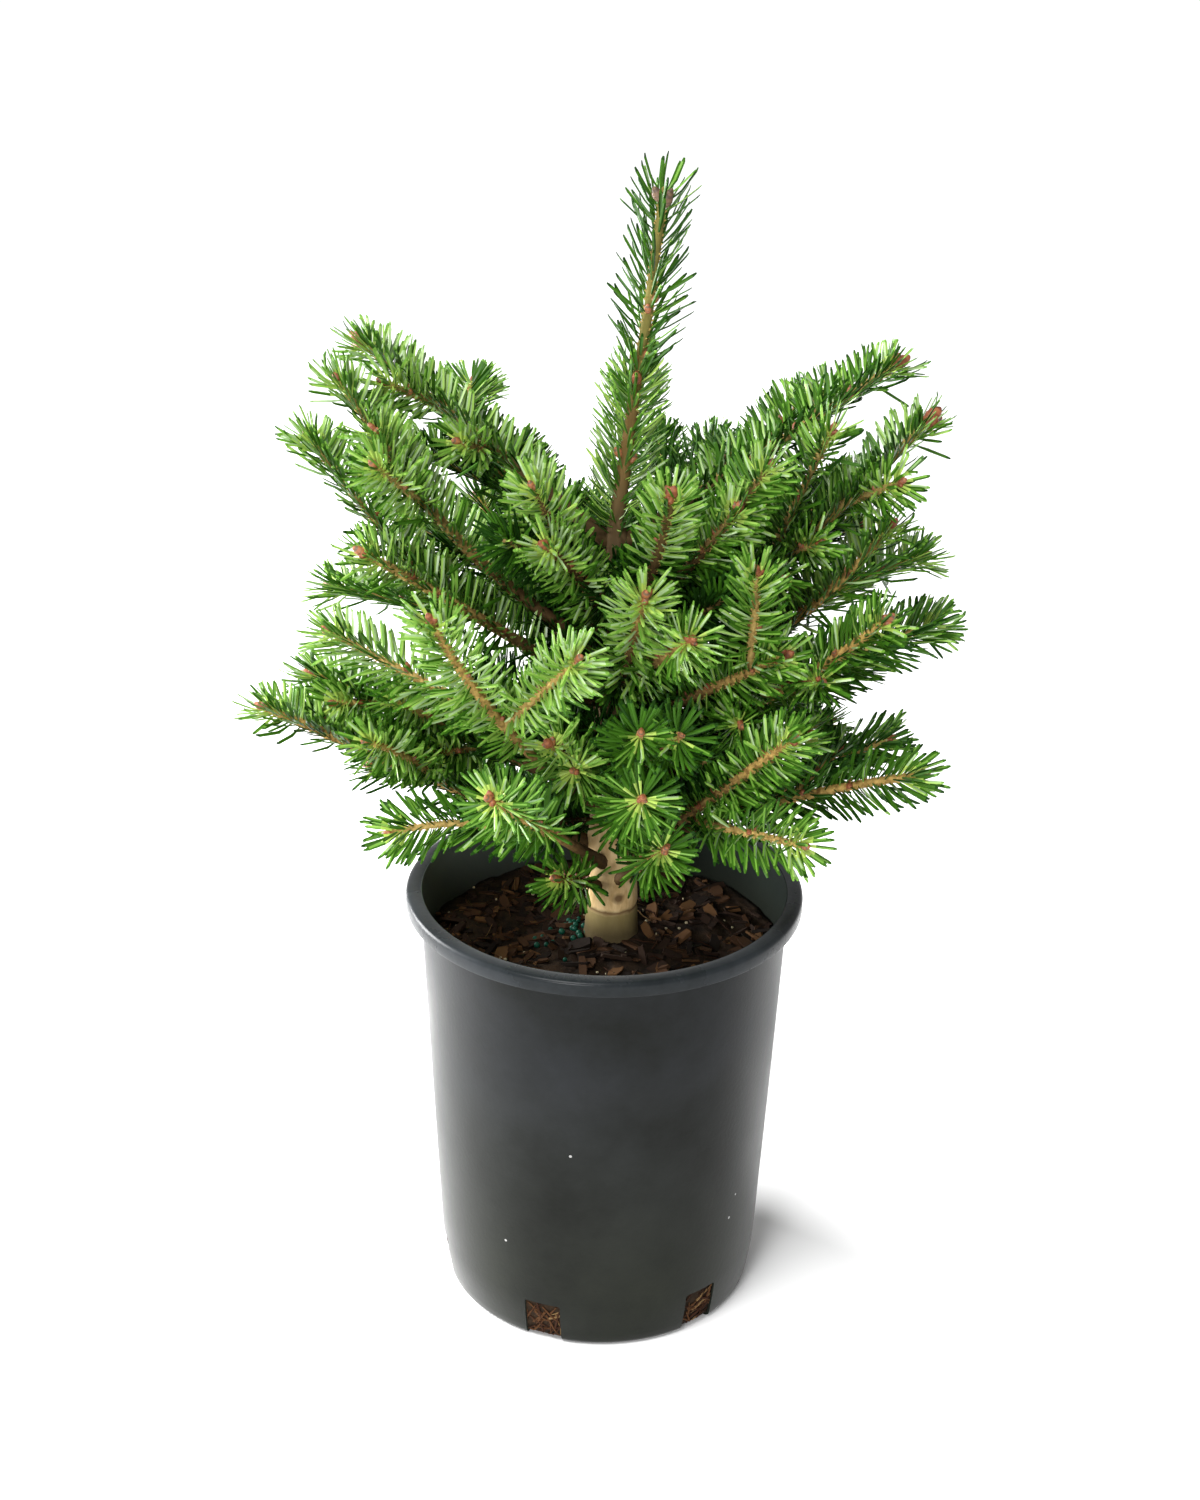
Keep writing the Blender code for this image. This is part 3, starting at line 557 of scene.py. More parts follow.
def growShoots():
    shoots = []
    low, high = np.array(cadBox[0]) + growth["boxMargin"], np.array(cadBox[1]) - growth["boxMargin"]
    for name, row in boughs.items():
        path = pathFrom(trunkAt(row["foot"]), row["bearing"], row["rise"], row["lift"], row["length"])
        first, more = growth["needlesFrom"]
        start = row.get("needlesFrom", row["bare"] * more + first)
        shoots.append(dict(bough=name, path=path, length=row["length"], main=True, fresh=row["fresh"],
                           radii=growth["mainRadii"], needlesFrom=start))
        for place, bearing, rise, lift, length in sideShoots(name, row):
            side = pathFrom(along(path, np.array([place]))[0], bearing, rise, lift, length)
            if np.all(side[-1] > low) and np.all(side[-1] < high):
                start = growth["shortFrom" if length < growth["shortSide"] else "sideFrom"]
                shoots.append(dict(bough=name, path=side, length=length, main=False, fresh=row["fresh"],
                                   radii=growth["sideRadii"], needlesFrom=start))
    lowest, highest = growth["innerHeights"]
    start, end, shorter = growth["innerFront"]
    foot, middle, tip = growth["sideRadii"]
    for k in range(growth["innerCount"]):
        height = lowest + (k + 0.5) / growth["innerCount"] * (highest - lowest)
        bearing = k * growth["goldenAngle"] + growth["innerBearing"]
        rise = dice.uniform(*growth["innerRises"])
        length = dice.uniform(*growth["innerLengths"]) * (shorter if start < bearing % 360 < end else 1.0)
        path = pathFrom(trunkAt(height), bearing, rise, dice.uniform(*growth["innerLifts"]), length)
        shoots.append(dict(bough="inner", path=path, length=length, main=False, fresh=growth["innerFreshAndLit"],
                           radii=(foot * growth["innerFoot"], middle, tip),
                           needlesFrom=growth["innerNeedlesFrom"]))
    return shoots


shoots = growShoots()
print("shoots grown:", len(shoots))


# Bark: trunk, boughs and twigs

barkTones = dict(
    trunkDark=(0.56, 0.37, 0.16), trunkLight=(0.88, 0.66, 0.35), olive=(0.19, 0.15, 0.055),
    # one tone here, for the trunk inside the crown, is painted shade
    darkTowardSoil=(0.075, 0.055, 0.026), paintedShadeTrunk=(0.075, 0.045, 0.02), leaderFoot=(0.165, 0.1, 0.034),
    # one tone here, for limbs close to the trunk, is painted shade
    leader=(0.19, 0.168, 0.045), crease=(0.14, 0.08, 0.035), core=(0.055, 0.03, 0.014),
    upper=(0.24, 0.185, 0.062))
# What boughs and twigs have: sides, distance between rings, relief, tones
wood = dict(bough_bark=(10, 0.0022, 0.00022, ((0.17, 0.095, 0.026), (0.56, 0.365, 0.11))),
            twig_bark=(8, 0.0024, 0.00018, ((0.24, 0.15, 0.042), (0.6, 0.42, 0.145))))
# Their finish has the scale of the grain, the roughness and the relief
woodWear = dict(collar=0.35, collarReach=0.016, lumps=330, lumpNoise=(0.8, 2.1, 3), bareLeast=0.2,
                # close to the pot's axis the bark gets painted shade
                ringsLeast=5, high=(0.42, 0.49, 0.0, 0.7), near=(0.042, 0.102, 0.9, 0.0),
                finish=(260.0, 0.72, 0.0003))
dullSpecular = 0.12  # for bark and soil


def grownFinish(name, tones, scale, roughness, depth, onTree=False):
    material, tree, surface = newMaterial(name, roughness, dullSpecular)
    spot = objectSpot(tree)
    grain = useGroup(tree, mottle, Vector=spot, Scale=scale, Dark=tones[0], Light=tones[1])
    colour = grain["Color"]
    if onTree:  # bark is greener high up, and close to the pot's axis, inside the crown, it gets painted shade
        away = vectorMaths(tree, "LENGTH", vectorMaths(tree, "MULTIPLY", spot, (1, 1, 0))[0])["Value"]
        colour = tinted(tree, colour, barkTones["upper"], axesOf(tree, spot)["Z"], woodWear["high"])
        colour = tinted(tree, colour, barkTones["core"], away, woodWear["near"])
    feed(tree, surface["Base Color"], colour)
    relief(tree, surface, grain["Height"], depth)
    return material


def trunkFinish():
    material, tree, surface = newMaterial("trunkBark", trunk["barkRoughness"], dullSpecular)
    spot = objectSpot(tree)
    longer = addNode(tree, "ShaderNodeMapping", dict(Vector=spot, Scale=trunk["grainStretch"]))[0]
    grain = useGroup(tree, mottle, Vector=longer, Scale=trunk["grainScale"], Dark=barkTones["trunkDark"],
                     Light=barkTones["trunkLight"])
    inputs = dict(Vector=spot, Scale=trunk["wavyScale"], Detail=trunk["wavyDetail"])
    wavy = addNode(tree, "ShaderNodeTexNoise", inputs)["Fac"]
    sway = ranged(tree, wavy, 0.0, 1.0, -trunk["wavy"], trunk["wavy"])
    height = maths(tree, "ADD", axesOf(tree, spot)["Z"], sway)
    colour = grain["Color"]
    for tone, *change in trunk["steps"]:
        colour = tinted(tree, colour, barkTones[tone], height, change)
    off = maths(tree, "ABSOLUTE", maths(tree, "SUBTRACT", height, trunk["crease"]))
    away = vectorMaths(tree, "DISTANCE", spot, trunk["scar"])["Value"]
    marks = maths(tree, "MAXIMUM", ranged(tree, off, *trunk["creaseFade"]),
                  ranged(tree, maths(tree, "ADD", away, sway), *trunk["scarFade"]))
    feed(tree, surface["Base Color"], blended(tree, marks, colour, barkTones["crease"]))
    relief(tree, surface, grain["Height"], trunk["grainDepth"])
    return material


def sweep(points, radii, sides):
    # A closed tube along the points
    bm = bmesh.new()
    bmesh.ops.create_circle(bm, segments=sides, radius=1.0)
    frames = zip(*framesAlong(np.array(points), np.linspace(0, 1, len(points))), radii)
    stretchRing(bm, [sized(centre, (radius, radius, 1), turnTo(side, up, forward))
                     for centre, forward, up, side, radius in frames])
    return bm


def joinSweeps(parts):
    whole = bmesh.new()
    spare = bpy.data.meshes.new("spare")
    for part in parts:
        part.to_mesh(spare)
        part.free()
        whole.from_mesh(spare)
    bpy.data.meshes.remove(spare)
    whole.normal_update()
    return whole


def makeTrunk():
    bottom, top = trunk["stations"][0][0], trunk["stations"][-1][0]
    heights = np.linspace(bottom, top, round((top - bottom) / trunk["ringPitch"]) + 1)
    bm = sweep([trunkAt(height) for height in heights], trunkRadius(heights), trunk["sides"])
    bm.normal_update()
    feet = np.array([trunkAt(row["foot"]) + heading(row["bearing"], row["rise"])
                     * (trunkRadius(row["foot"]) * trunk["collarPlace"]) for row in boughs.values()])
    for v in bm.verts:
        away = np.linalg.norm(feet - np.array(v.co), axis=1)
        collar = trunk["collar"] * np.exp(-(away / trunk["collarReach"]) ** 2).sum()
        furrow = noise.fractal(v.co * Vector(trunk["furrows"]), *trunk["furrowNoise"])
        scars = noise.noise(v.co * Vector(trunk["scars"]))
        thin = min(1.0, trunkRadius(v.co.z) / trunk["thinFrom"])
        rough = trunk["roughness"] * thin * (furrow * trunk["furrowShare"] + scars * trunk["scarShare"])
        v.co += v.normal * (collar * thin + rough)
    return addPiece("trunk_bark", bm, ["trunk"], [trunkFinish()])


def makeWood(name, main, nodes):
    sides, pitch, lumps, tones = wood[name]
    parts = []
    for shoot in shoots:
        if shoot["main"] != main:
            continue
        count = max(woodWear["ringsLeast"], round(shoot["length"] / pitch))
        bare = max(boughs[shoot["bough"]]["bare"] if main else 0, woodWear["bareLeast"])
        radii = np.interp(np.linspace(0, 1, count), (0, bare, 1), shoot["radii"])
        if main:  # the collar where a bough leaves the trunk
            travelled = np.linspace(0, shoot["length"], count)
            radii = radii * (1 + woodWear["collar"] * np.exp(-(travelled / woodWear["collarReach"]) ** 2))
        parts.append(sweep(along(shoot["path"], np.linspace(0, 1, count)), radii, sides))
    bm = joinSweeps(parts)
    for v in bm.verts:
        v.co += v.normal * noise.fractal(v.co * woodWear["lumps"], *woodWear["lumpNoise"]) * lumps
    finish = grownFinish(name + "Finish", tones, *woodWear["finish"], onTree=True)
    return addPiece(name, bm, nodes, [finish])


limbs = [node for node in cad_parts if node.startswith("bough_")]
barkPieces = [makeTrunk(), makeWood("bough_bark", True, limbs), makeWood("twig_bark", False, [])]
print("bark made,", faceCount(*barkPieces), "faces")


# Needles: flat, blunt, each with a round foot, dealt out by spray

needle = dict(
    width=0.002, thickness=0.00085, widths=(0.88, 1.1), upperLength=0.018, sideLength=0.0238,
    sizes=(0.9, 1.07),
    # needles a metre, and how they crowd and bunch toward the tip
    density=2120, tipCrowd=1.5, crowdReach=0.01, crowdSteps=80, tuftReach=0.008, tuftWander=2.0,
    goldenAngle=137.508,
    # degrees from the top of the shoot: the bare strip along it, how far down they stand, and the strays
    opening=44, parting=76, strays=0.13, strayAngles=(115, 165), strayBend=1.4, strayShade=0.25,
    openUpTo=135, evenFrom=130,
    # a shoot that comes forward parts toward the front
    front=(270, 25), frontFacing=(0.35, 0.65), frontUpTo=136, frontOpening=0.4, frontLean=0.8,
    frontDensity=0.86, upperLean=78, sideLean=68, tuftLean=0.66, tuftLeanReach=0.012, driftPitch=0.011,
    bend=(-4, 24), bendOut=0.25, wander=dict(turn=6, lean=5, drift=6, twist=8, upperTwist=16),
    # how far from the tip and from the foot they are shorter, and by how much
    tipShort=(0.016, 0.24), footShort=(0.012, 0.2), seat=0.8, radiusPlaces=(0, 0.25, 1),
    trunkGap=0.001,
    # light at the tip, less where they grow close to the trunk or under the shoot
    tipLight=0.22, tipLightReach=0.014, shade=0.36, shadeReach=0.06, shadeTop=0.45, underShade=0.29,
    # some needles carry a painted highlight on one upper face, fewer low down, where less sky is reflected
    lift=0.08, toneScatter=0.1, paintedGloss=0.27, paintedGlossHeights=(0.3, 0.42), paintedGlossShares=(0.3, 1), tenderFrom=0.3,
    sharpAngle=28,
    # how much less there is of each where the needles stand evenly all round
    even=dict(density=0.22, tuftLean=-0.34, tipLight=0.12, toneScatter=0.04, width=0.12),
    # place, width and thickness, for a needle that is seen and for one deep in the crown
    stations=((0.0, 0.7, 1.4), (0.06, 0.48, 0.85), (0.42, 1.0, 1.0), (0.9, 0.92, 0.85), (1.0, 0.5, 0.45)),
    plainStations=((0.0, 0.6, 1.0), (0.45, 1.0, 1.0), (1.0, 0.6, 0.5)), footTo=0.1, innerTo=0.5, tipFrom=0.85,
    # the first five are the tones that the light steps between, as painted light and shade, and the whitish
    # one is a painted highlight
    toneSteps=(0.04, 0.3, 0.58, 0.92),
    tones=dict(shade=(0.014, 0.052, 0.006), deep=(0.042, 0.13, 0.009), leaf=(0.152, 0.331, 0.04),
               fresh=(0.3, 0.503, 0.092), young=(0.41, 0.585, 0.105), paleDeep=(0.063, 0.156, 0.031),
               bloom=(0.37, 0.53, 0.25), foot=(0.46, 0.32, 0.09), heart=(0.42, 0.54, 0.1)),
    specular=dict(shade=0.06, deep=0.12, leaf=0.28), usualSpecular=0.42, roughness=0.32, footRoughness=0.7)
# The sleeves up the leader: foot, top, needles a metre, how light, their length, their lean at foot and top
leader = dict(
    parts=dict(leader_foot=(0.405, 0.462, 1700, 0.16, 0.02, (66, 60)),
               leader_lower=(0.455, 0.534, 3600, 1.02, 0.0245, (62, 50)),
               leader_node=(0.519, 0.545, 3800, 2.2, 0.02, (66, 48)),
               leader_upper=(0.54, 0.634, 1800, 0.22, 0.0242, (57, 45))),
    radii=(0.0036, 0.0028, 0.0021), footRadii=(0.0085, 0.0075, 0.0042), footBelow=0.47, bend=(4, 34),
    twist=58, pathSteps=24, needlesFrom=0.02, tuftLean=0.78, tipShort=0.75, tipLight=0.06, underShade=0.3,
    # it is bare in front at its tip and thinner in front, and its needles are slimmer below the split
    openTip=0.01, openFrom=0.6, openTurn=-0.3, frontTurn=-0.62, split=0.54, inFront=(0.42, 0.52),
    slim=(0.88, 1.0))
# For each tone, and last for a needle with a painted highlight, the slots of its left and right upper faces,
# left and right lower faces, tip and foot. The upper faces differ by a step as painted light and shade, one
# lower face is pale like a real underside and the other darker as painted shade, and the tip is a step darker
needleLooks = np.array(((0, 0, 0, 0, 0, 0), (1, 1, 0, 5, 0, 7), (2, 1, 5, 0, 1, 7),
                        (3, 2, 5, 1, 2, 7), (4, 3, 2, 5, 3, 8), (3, 6, 5, 1, 2, 7)))
# The parts of a needle: its upper left is 0, and the others count from there
lowerLeft, tipFace, footFace, innerLeft = 2, 4, 5, 6


def makeNeedleShape(stations):
    # Unit needle along +Y, broad across X, its upper face toward +Z
    bm = bmesh.new()
    bmesh.ops.create_circle(bm, segments=4, radius=0.5, matrix=Matrix.Rotation(math.radians(-90), 4, "X"))
    stretchRing(bm, [sized((0, place, 0), (width, 1, thickness)) for place, width, thickness in stations])
    bm.verts.index_update()
    verts = np.array([v.co[:] for v in bm.verts])
    faces = np.array([[v.index for v in face.verts] for face in bm.faces])
    kinds = []
    for face in bm.faces:
        middle = face.calc_center_median()
        lowest, highest = min(v.co.y for v in face.verts), max(v.co.y for v in face.verts)
        half = lowerLeft if middle.z < 0 else innerLeft if highest < needle["innerTo"] else 0
        kind = tipFace if lowest > needle["tipFrom"] else half + (middle.x > 0)
        kinds.append(footFace if highest < needle["footTo"] else kind)
    bm.free()
    return verts, faces, np.array(kinds)


def placesAlong(shoot, density):
    # Shares of the shoot's length, closer together toward its tip
    start, length = shoot["needlesFrom"], shoot["length"]
    grid = np.linspace(start, 1, needle["crowdSteps"])
    more = 0 if shoot["bough"] == "leader" else needle["tipCrowd"]
    crowd = np.cumsum(1 + more * np.exp(-(1 - grid) * length / needle["crowdReach"])) / len(grid)
    count = int((1 - start) * length * density * crowd[-1])
    return np.interp((np.arange(count) + 0.5) / count * crowd[-1], crowd, grid)


def turnToFront(forward, up, least):
    front = heading(*needle["front"])
    facing = np.maximum(np.interp(forward @ front, needle["frontFacing"], (0, 1)), least)[:, None]
    up = unit(up * (1 - facing) + (front - forward * (forward @ front)[:, None]) * facing)
    return up, np.cross(forward, up), facing[:, 0]


def needlesOn(shoot):
    # Places, directions and sizes of one shoot's needles, in a spiral round it and parted along its top
    onLeader = shoot["bough"] == "leader"
    length, wander, even = shoot["length"], needle["wander"], needle["even"]
    row = boughs.get(shoot["bough"], {})
    parting = 180 if onLeader else row.get("parting", needle["parting"])
    parting = parting if shoot["main"] else row.get("sideParting", parting)
    evenness = min(max((parting - needle["evenFrom"]) / (180 - needle["evenFrom"]), 0), 1)
    usual = needle["density"] * (1 - even["density"] * evenness) * row.get("crowding", 1)
    shares = placesAlong(shoot, shoot.get("density", usual))
    count = len(shares)
    centres, forward, up, side = framesAlong(shoot["path"], shares)
    facing = 0
    if not onLeader:
        least = row.get("facing", 0) if parting < needle["frontUpTo"] else 0
        up, side, facing = turnToFront(forward, up, least)
        facing = facing * (1 - evenness)
    toTip = (1 - shares) * length
    tuft = np.exp(-toTip / needle["tuftReach"])

    # the feet stand all round the shoot, and the needles bend round to its upper side
    turn = np.arange(count) * needle["goldenAngle"] + dice.normal(0, wander["turn"], count)
    turn = (turn + 180) % 360 - 180
    rooted = np.radians(turn)
    stray = (dice.uniform(0, 1, count) < needle["strays"]) & (not onLeader)
    spreadOut = np.where(stray, dice.uniform(*needle["strayAngles"], count), parting)
    spreadOut = spreadOut + (180 - spreadOut) * tuft
    opening = needle["opening"] * (1 - tuft) * (0 if onLeader or parting > needle["openUpTo"] else 1)
    opening = opening * (1 - (1 - needle["frontOpening"]) * facing)
    turn = np.radians(np.sign(turn) * (opening + (spreadOut - opening) * np.abs(turn) / 180))
    lateral = np.clip(1 - np.cos(turn), 0, 1)
    spread = np.maximum(lateral, evenness)

    # how far they lean away from the shoot's own direction
    first, last = shoot["leans"] if onLeader else (needle["upperLean"], needle["sideLean"])
    lean = first + (last - first) * (shares if onLeader else spread)
    lean = lean * (1 - (1 - needle["frontLean"]) * facing)
    tuftLean = leader["tuftLean"] if onLeader else needle["tuftLean"] - even["tuftLean"] * evenness
    lean = lean * (1 - (1 - tuftLean) * np.exp(-toTip / needle["tuftLeanReach"]))
    drift = wander["drift"] * np.sin(shares * length / needle["driftPitch"] + dice.uniform(*growth["phases"]))
    lean = lean + drift + dice.normal(0, wander["lean"], count) * (1 + needle["tuftWander"] * tuft)
    lean = np.radians(lean)
    aim = turned(forward, turned(up, side, turn), lean)

    # which way the upper face of each looks
    level = np.ones((count, 1)) if onLeader else ((1 - lateral) ** 2 * (1 - evenness) + evenness)[:, None]
    face = unit(squareTo(forward * level + up * (1 - level), aim))
    twist = dice.normal(0, 1, count) * (wander["twist"] + wander["upperTwist"] * (1 - lateral))
    twist = dice.uniform(-1, 1, count) * leader["twist"] if onLeader else twist
    face = turned(face, np.cross(aim, face), np.radians(twist))

    # their length and bend
    longest, upper = shoot.get("needleLength", needle["sideLength"]), needle["upperLength"]
    reach, share = needle["tipShort"]
    ends = np.clip(toTip / reach, 0, 1) * share + (1 - share)
    ends = (1 - leader["tipShort"]) + leader["tipShort"] * ends if onLeader else ends
    reach, share = needle["footShort"]
    starts = np.clip((shares - shoot["needlesFrom"]) * length / reach, 0, 1) * share + (1 - share)
    sizes = longest if onLeader else upper + (longest - upper) * spread
    sizes = sizes * ends * starts * dice.uniform(*needle["sizes"], count)
    bend = dice.uniform(*(leader["bend"] if onLeader else needle["bend"]), count)
    bend = np.radians(bend * (1 + tuft) * (1 + needle["strayBend"] * stray))
    curl = unit(squareTo(forward, aim) + face * needle["bendOut"])

    # their tone, from how much light they get
    heights, away = centres[:, 2], np.hypot(centres[:, 0] - trunk["axis"], centres[:, 1])
    inward = np.exp(-(away / needle["shadeReach"]) ** 2) * (heights < needle["shadeTop"])
    tipLight = leader["tipLight"] if onLeader else needle["tipLight"] - even["tipLight"] * evenness
    light = shoot["fresh"] + tipLight * np.exp(-toTip / needle["tipLightReach"])
    uneven = dice.normal(0, needle["toneScatter"] - even["toneScatter"] * evenness, count)
    light = light + uneven - needle["shade"] * inward
    under = needle["underShade"] * (leader["underShade"] if onLeader else 1) * np.abs(rooted) / math.pi
    light = light + (needle["lift"] - under - needle["strayShade"] * stray)
    tone = np.digitize(light, needle["toneSteps"])

    # those that are left out
    keep = dice.uniform(0, 1, count) < 1 - (1 - needle["frontDensity"]) * facing
    if onLeader:
        covered = (toTip > leader["openTip"]) | (np.sin(turn) > leader["openTurn"])
        keep &= covered | (heights < leader["openFrom"])
        share = np.where(heights < leader["split"], *leader["inFront"])
        keep &= (np.sin(turn) > leader["frontTurn"]) | (dice.uniform(0, 1, count) < share)
    else:
        keep &= away > trunkRadius(heights) + needle["trunkGap"]
    slim = 1 - even["width"] * evenness * np.ones(count)
    slim = np.where(heights < leader["split"], *leader["slim"]) if onLeader else slim
    radius = np.interp(shares, needle["radiusPlaces"], shoot["radii"])[:, None]
    base = centres + turned(up, side, rooted) * radius * needle["seat"]
    return [array[keep] for array in (base, aim, face, curl, bend, sizes, tone, tuft, slim)]


def needleSlots(kinds, tone, tuft, heights, name):
    # The finish of every face: some needles get a painted highlight, half are mirrored, and those in a tuft
    # are pale
    count = len(tone)
    deal = np.random.default_rng(count + 7)
    chance = np.interp(heights, needle["paintedGlossHeights"], needle["paintedGlossShares"])
    chance = needle["paintedGloss"] * (tone - 1) * chance
    look = np.where((tone > 1) & (deal.uniform(0, 1, count) < chance), len(needleLooks) - 1, tone)
    mirrored = np.where((kinds == tipFace) | (kinds == footFace), kinds, kinds ^ 1)
    dealt = np.where(deal.uniform(0, 1, (count, 1)) < 0.5, kinds[None], mirrored[None])
    slots = needleLooks[look[:, None], dealt % innerLeft]
    toneNames = list(needle["tones"])
    tender = ((tuft > needle["tenderFrom"]) & (tone > 1) & (name != "needles_leader"))[:, None]
    slots = np.where(tender & (kinds[None] > footFace), toneNames.index("young"), slots)
    return np.where(tender & (kinds[None] == footFace), toneNames.index("heart"), slots)


def makeNeedles(name, chosen, nodes):
    verts, faces, kinds = makeNeedleShape(needle["plainStations" if name == "needles_inner" else "stations"])
    fields = zip(*[needlesOn(shoot) for shoot in chosen])
    base, aim, face, curl, bend, sizes, tone, tuft, slim = [np.concatenate(parts) for parts in fields]
    count = len(base)
    t = verts[None, :, 1:2]
    angle = bend[:, None] * t[:, :, 0]
    centre = turned(aim[:, None], curl[:, None], angle / 2)
    ahead = turned(aim[:, None], curl[:, None], angle)
    normal = unit(squareTo(face[:, None], ahead))
    widths = needle["width"] * slim * np.random.default_rng(count).uniform(*needle["widths"], count)
    coords = base[:, None] + centre * t * sizes[:, None, None]
    coords = coords + np.cross(ahead, normal) * verts[None, :, 0:1] * widths[:, None, None]
    coords = coords + normal * verts[None, :, 2:3] * needle["thickness"]
    allFaces = faces[None] + (np.arange(count) * len(verts))[:, None, None]
    slots = needleSlots(kinds, tone, tuft, base[:, 2], name)
    mesh = bpy.data.meshes.new(name)
    mesh.vertices.add(count * len(verts))
    mesh.vertices.foreach_set("co", coords.reshape(-1))
    mesh.loops.add(allFaces.size)
    mesh.loops.foreach_set("vertex_index", allFaces.reshape(-1))
    mesh.polygons.add(count * len(faces))
    mesh.polygons.foreach_set("loop_start", np.arange(count * len(faces)) * 4)
    mesh.polygons.foreach_set("material_index", slots.reshape(-1).astype(np.int32))
    mesh.update(calc_edges=True)
    mesh.shade_smooth()
    mesh.set_sharp_from_angle(angle=math.radians(needle["sharpAngle"]))
    addPiece(name, mesh, nodes, needleFinishes)
    print(name, count, "needles,", count * len(faces) * 2, "triangles")


needleFinishes = [plainFinish("needle" + key[0].upper() + key[1:], tone,
                              needle["footRoughness" if key == "foot" else "roughness"],
                              needle["specular"].get(key, needle["usualSpecular"]))
                  for key, tone in needle["tones"].items()]
for low, high, density, fresh, size, leans in leader["parts"].values():
    path = np.array([trunkAt(height) for height in np.linspace(low, high, leader["pathSteps"] + 1)])
    shoots.append(dict(bough="leader", path=path, length=high - low, main=False, density=density,
                       needlesFrom=leader["needlesFrom"], needleLength=size, leans=leans, fresh=fresh,
                       radii=leader["footRadii" if high < leader["footBelow"] else "radii"]))
# The masses that each piece takes the place of, by the names of their boughs
needleSides = dict(
    needles_leader=("leader",),
    needles_inner=("inner",),
    needles_left=("upper_left", "left_high", "left_mid", "left_low", "left_back_low"),
    needles_front_left=("left_front", "front_left_low", "left_inner", "front_left_foot", "front_left_high",
                        "front_high"),
    needles_front_right=("front_mid", "front_foot", "front_fork", "right_front", "front_right_mid",
                         "front_right_top", "front_right_high", "right_front_low"),
    needles_right=("right_low", "right_mid", "right_high", "upper_right", "right_upper"),
    needles_back_left=("back_left_high", "back_left_mid", "back_left_low", "back_high"),
    needles_back_right=("back_right_high", "back_right_mid", "back_right_low", "back_mid", "back_low"))
for name, chosen in needleSides.items():
    masses = ["foliage_" + key for key in (leader["parts"] if name == "needles_leader" else chosen)]
    makeNeedles(name, [shoot for shoot in shoots if shoot["bough"] in chosen],
                [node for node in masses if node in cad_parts])


# Buds: stepped ovals of scales, in clusters at the tips and at the nodes

bud = dict(
    length=0.005, radius=0.0018, steps=8, bands=9, roughness=0.5, sunk=0.3, outside=0.35,
    tones=((0.23, 0.064, 0.024), (0.34, 0.115, 0.042), (0.15, 0.085, 0.045), (0.085, 0.052, 0.03)),
    # at the tips: how many, how they spread, and their usual size on a bough and on a side shoot
    tipBuds=2, spread=40, spreads=(-8, 12), turns=(-0.4, 0.4), size=1.2, sideSize=1.05, sizes=(0.85, 1.1),
    firstSize=1.1, otherSize=0.9, ahead=0.0004, behind=0.001,
    # in pairs at the nodes along the shoot
    nodes=3, nodesFrom=0.42, nodesReach=0.45, nodeTurns=(0.3, 1.5), nodeSizes=(0.75, 1.0),
    nodeLean=(0.55, 0.8), nodeOut=0.0016,
    # on the leader: height, bearing, size, and how many at its tip are the greyest
    rise=62, greyest=3,
    leader=((0.63, 205, 1.65), (0.6275, 312, 1.6), (0.63, 352, 1.3), (0.5735, 262, 1.15), (0.5785, 318, 1.1),
            (0.5475, 215, 1.3), (0.55, 325, 1.25), (0.5375, 266, 1.6), (0.4975, 205, 1.3),
            (0.4945, 335, 1.15)),
    profile=((0.0, -0.05), (0.55, 0.0), (0.86, 0.18), (0.8, 0.2), (1.0, 0.42), (0.92, 0.45), (0.88, 0.66),
             (0.72, 0.7), (0.48, 0.88), (0.2, 0.97), (0.0, 1.0)))


def placeCopies(bm, matrices, slots, name, finishes, bands=0):
    # One joined mesh of a small shape at each matrix, its finish changing from band to band along its height
    verts = np.array([(*v.co, 1) for v in bm.verts])
    loops = [[v.index for v in face.verts] for face in bm.faces]
    steps = [int(face.calc_center_median().z * bands) % 2 for face in bm.faces]
    bm.free()
    coords = np.einsum("nij,kj->nki", np.array([np.array(m) for m in matrices]), verts)[:, :, :3]
    faces, indices = [], []
    for i, slot in enumerate(slots):
        faces += [[index + i * len(verts) for index in loop] for loop in loops]
        indices += [(slot + step) % len(finishes) for step in steps]
    mesh = bpy.data.meshes.new(name)
    mesh.from_pydata(coords.reshape(-1, 3), [], faces)
    mesh.polygons.foreach_set("material_index", np.array(indices, np.int32))
    mesh.shade_smooth()
    return mesh


def budAt(place, aim, size, spin=0.0):
    turn = Vector((0, 0, 1)).rotation_difference(Vector(aim)).to_matrix().to_4x4()
    radius = bud["radius"] * size
    return sized(place, (radius, radius, bud["length"] * size), turn @ Matrix.Rotation(spin, 4, "Z"))


def frameAt(path, share):
    return [array[0] for array in framesAlong(path, np.array([share]))]


def tipBuds(shoot):
    tip, forward, up, side = frameAt(shoot["path"], 1.0)
    big = boughs[shoot["bough"]].get("buds", bud["size"]) if shoot["main"] else bud["sideSize"]
    turn = dice.uniform(0, math.tau)
    for k in range(bud["tipBuds"] + shoot["main"]):
        lean = math.radians(bud["spread"] + dice.uniform(*bud["spreads"]) if k else 0)
        turn += math.tau / 3 + dice.uniform(*bud["turns"])
        aim = turned(forward, turned(up, side, turn), lean)
        size = big * dice.uniform(*bud["sizes"]) * bud["otherSize" if k else "firstSize"]
        place = tip + aim * bud["ahead"] - forward * (bud["behind"] if k else 0.0)
        yield budAt(place, aim, size, dice.uniform(*growth["phases"]))


def nodeBuds(shoot):
    ahead, out = bud["nodeLean"]
    for k in range(bud["nodes"] if shoot["main"] else 1):
        share = bud["nodesFrom"] + bud["nodesReach"] * (k + dice.uniform(0, 1)) / bud["nodes"]
        centre, forward, up, side = frameAt(shoot["path"], share)
        for turn in (dice.uniform(*bud["nodeTurns"]), -dice.uniform(*bud["nodeTurns"])):
            aim = ahead * forward + out * turned(up, side, turn)
            yield budAt(centre + aim * bud["nodeOut"], aim, dice.uniform(*bud["nodeSizes"]))


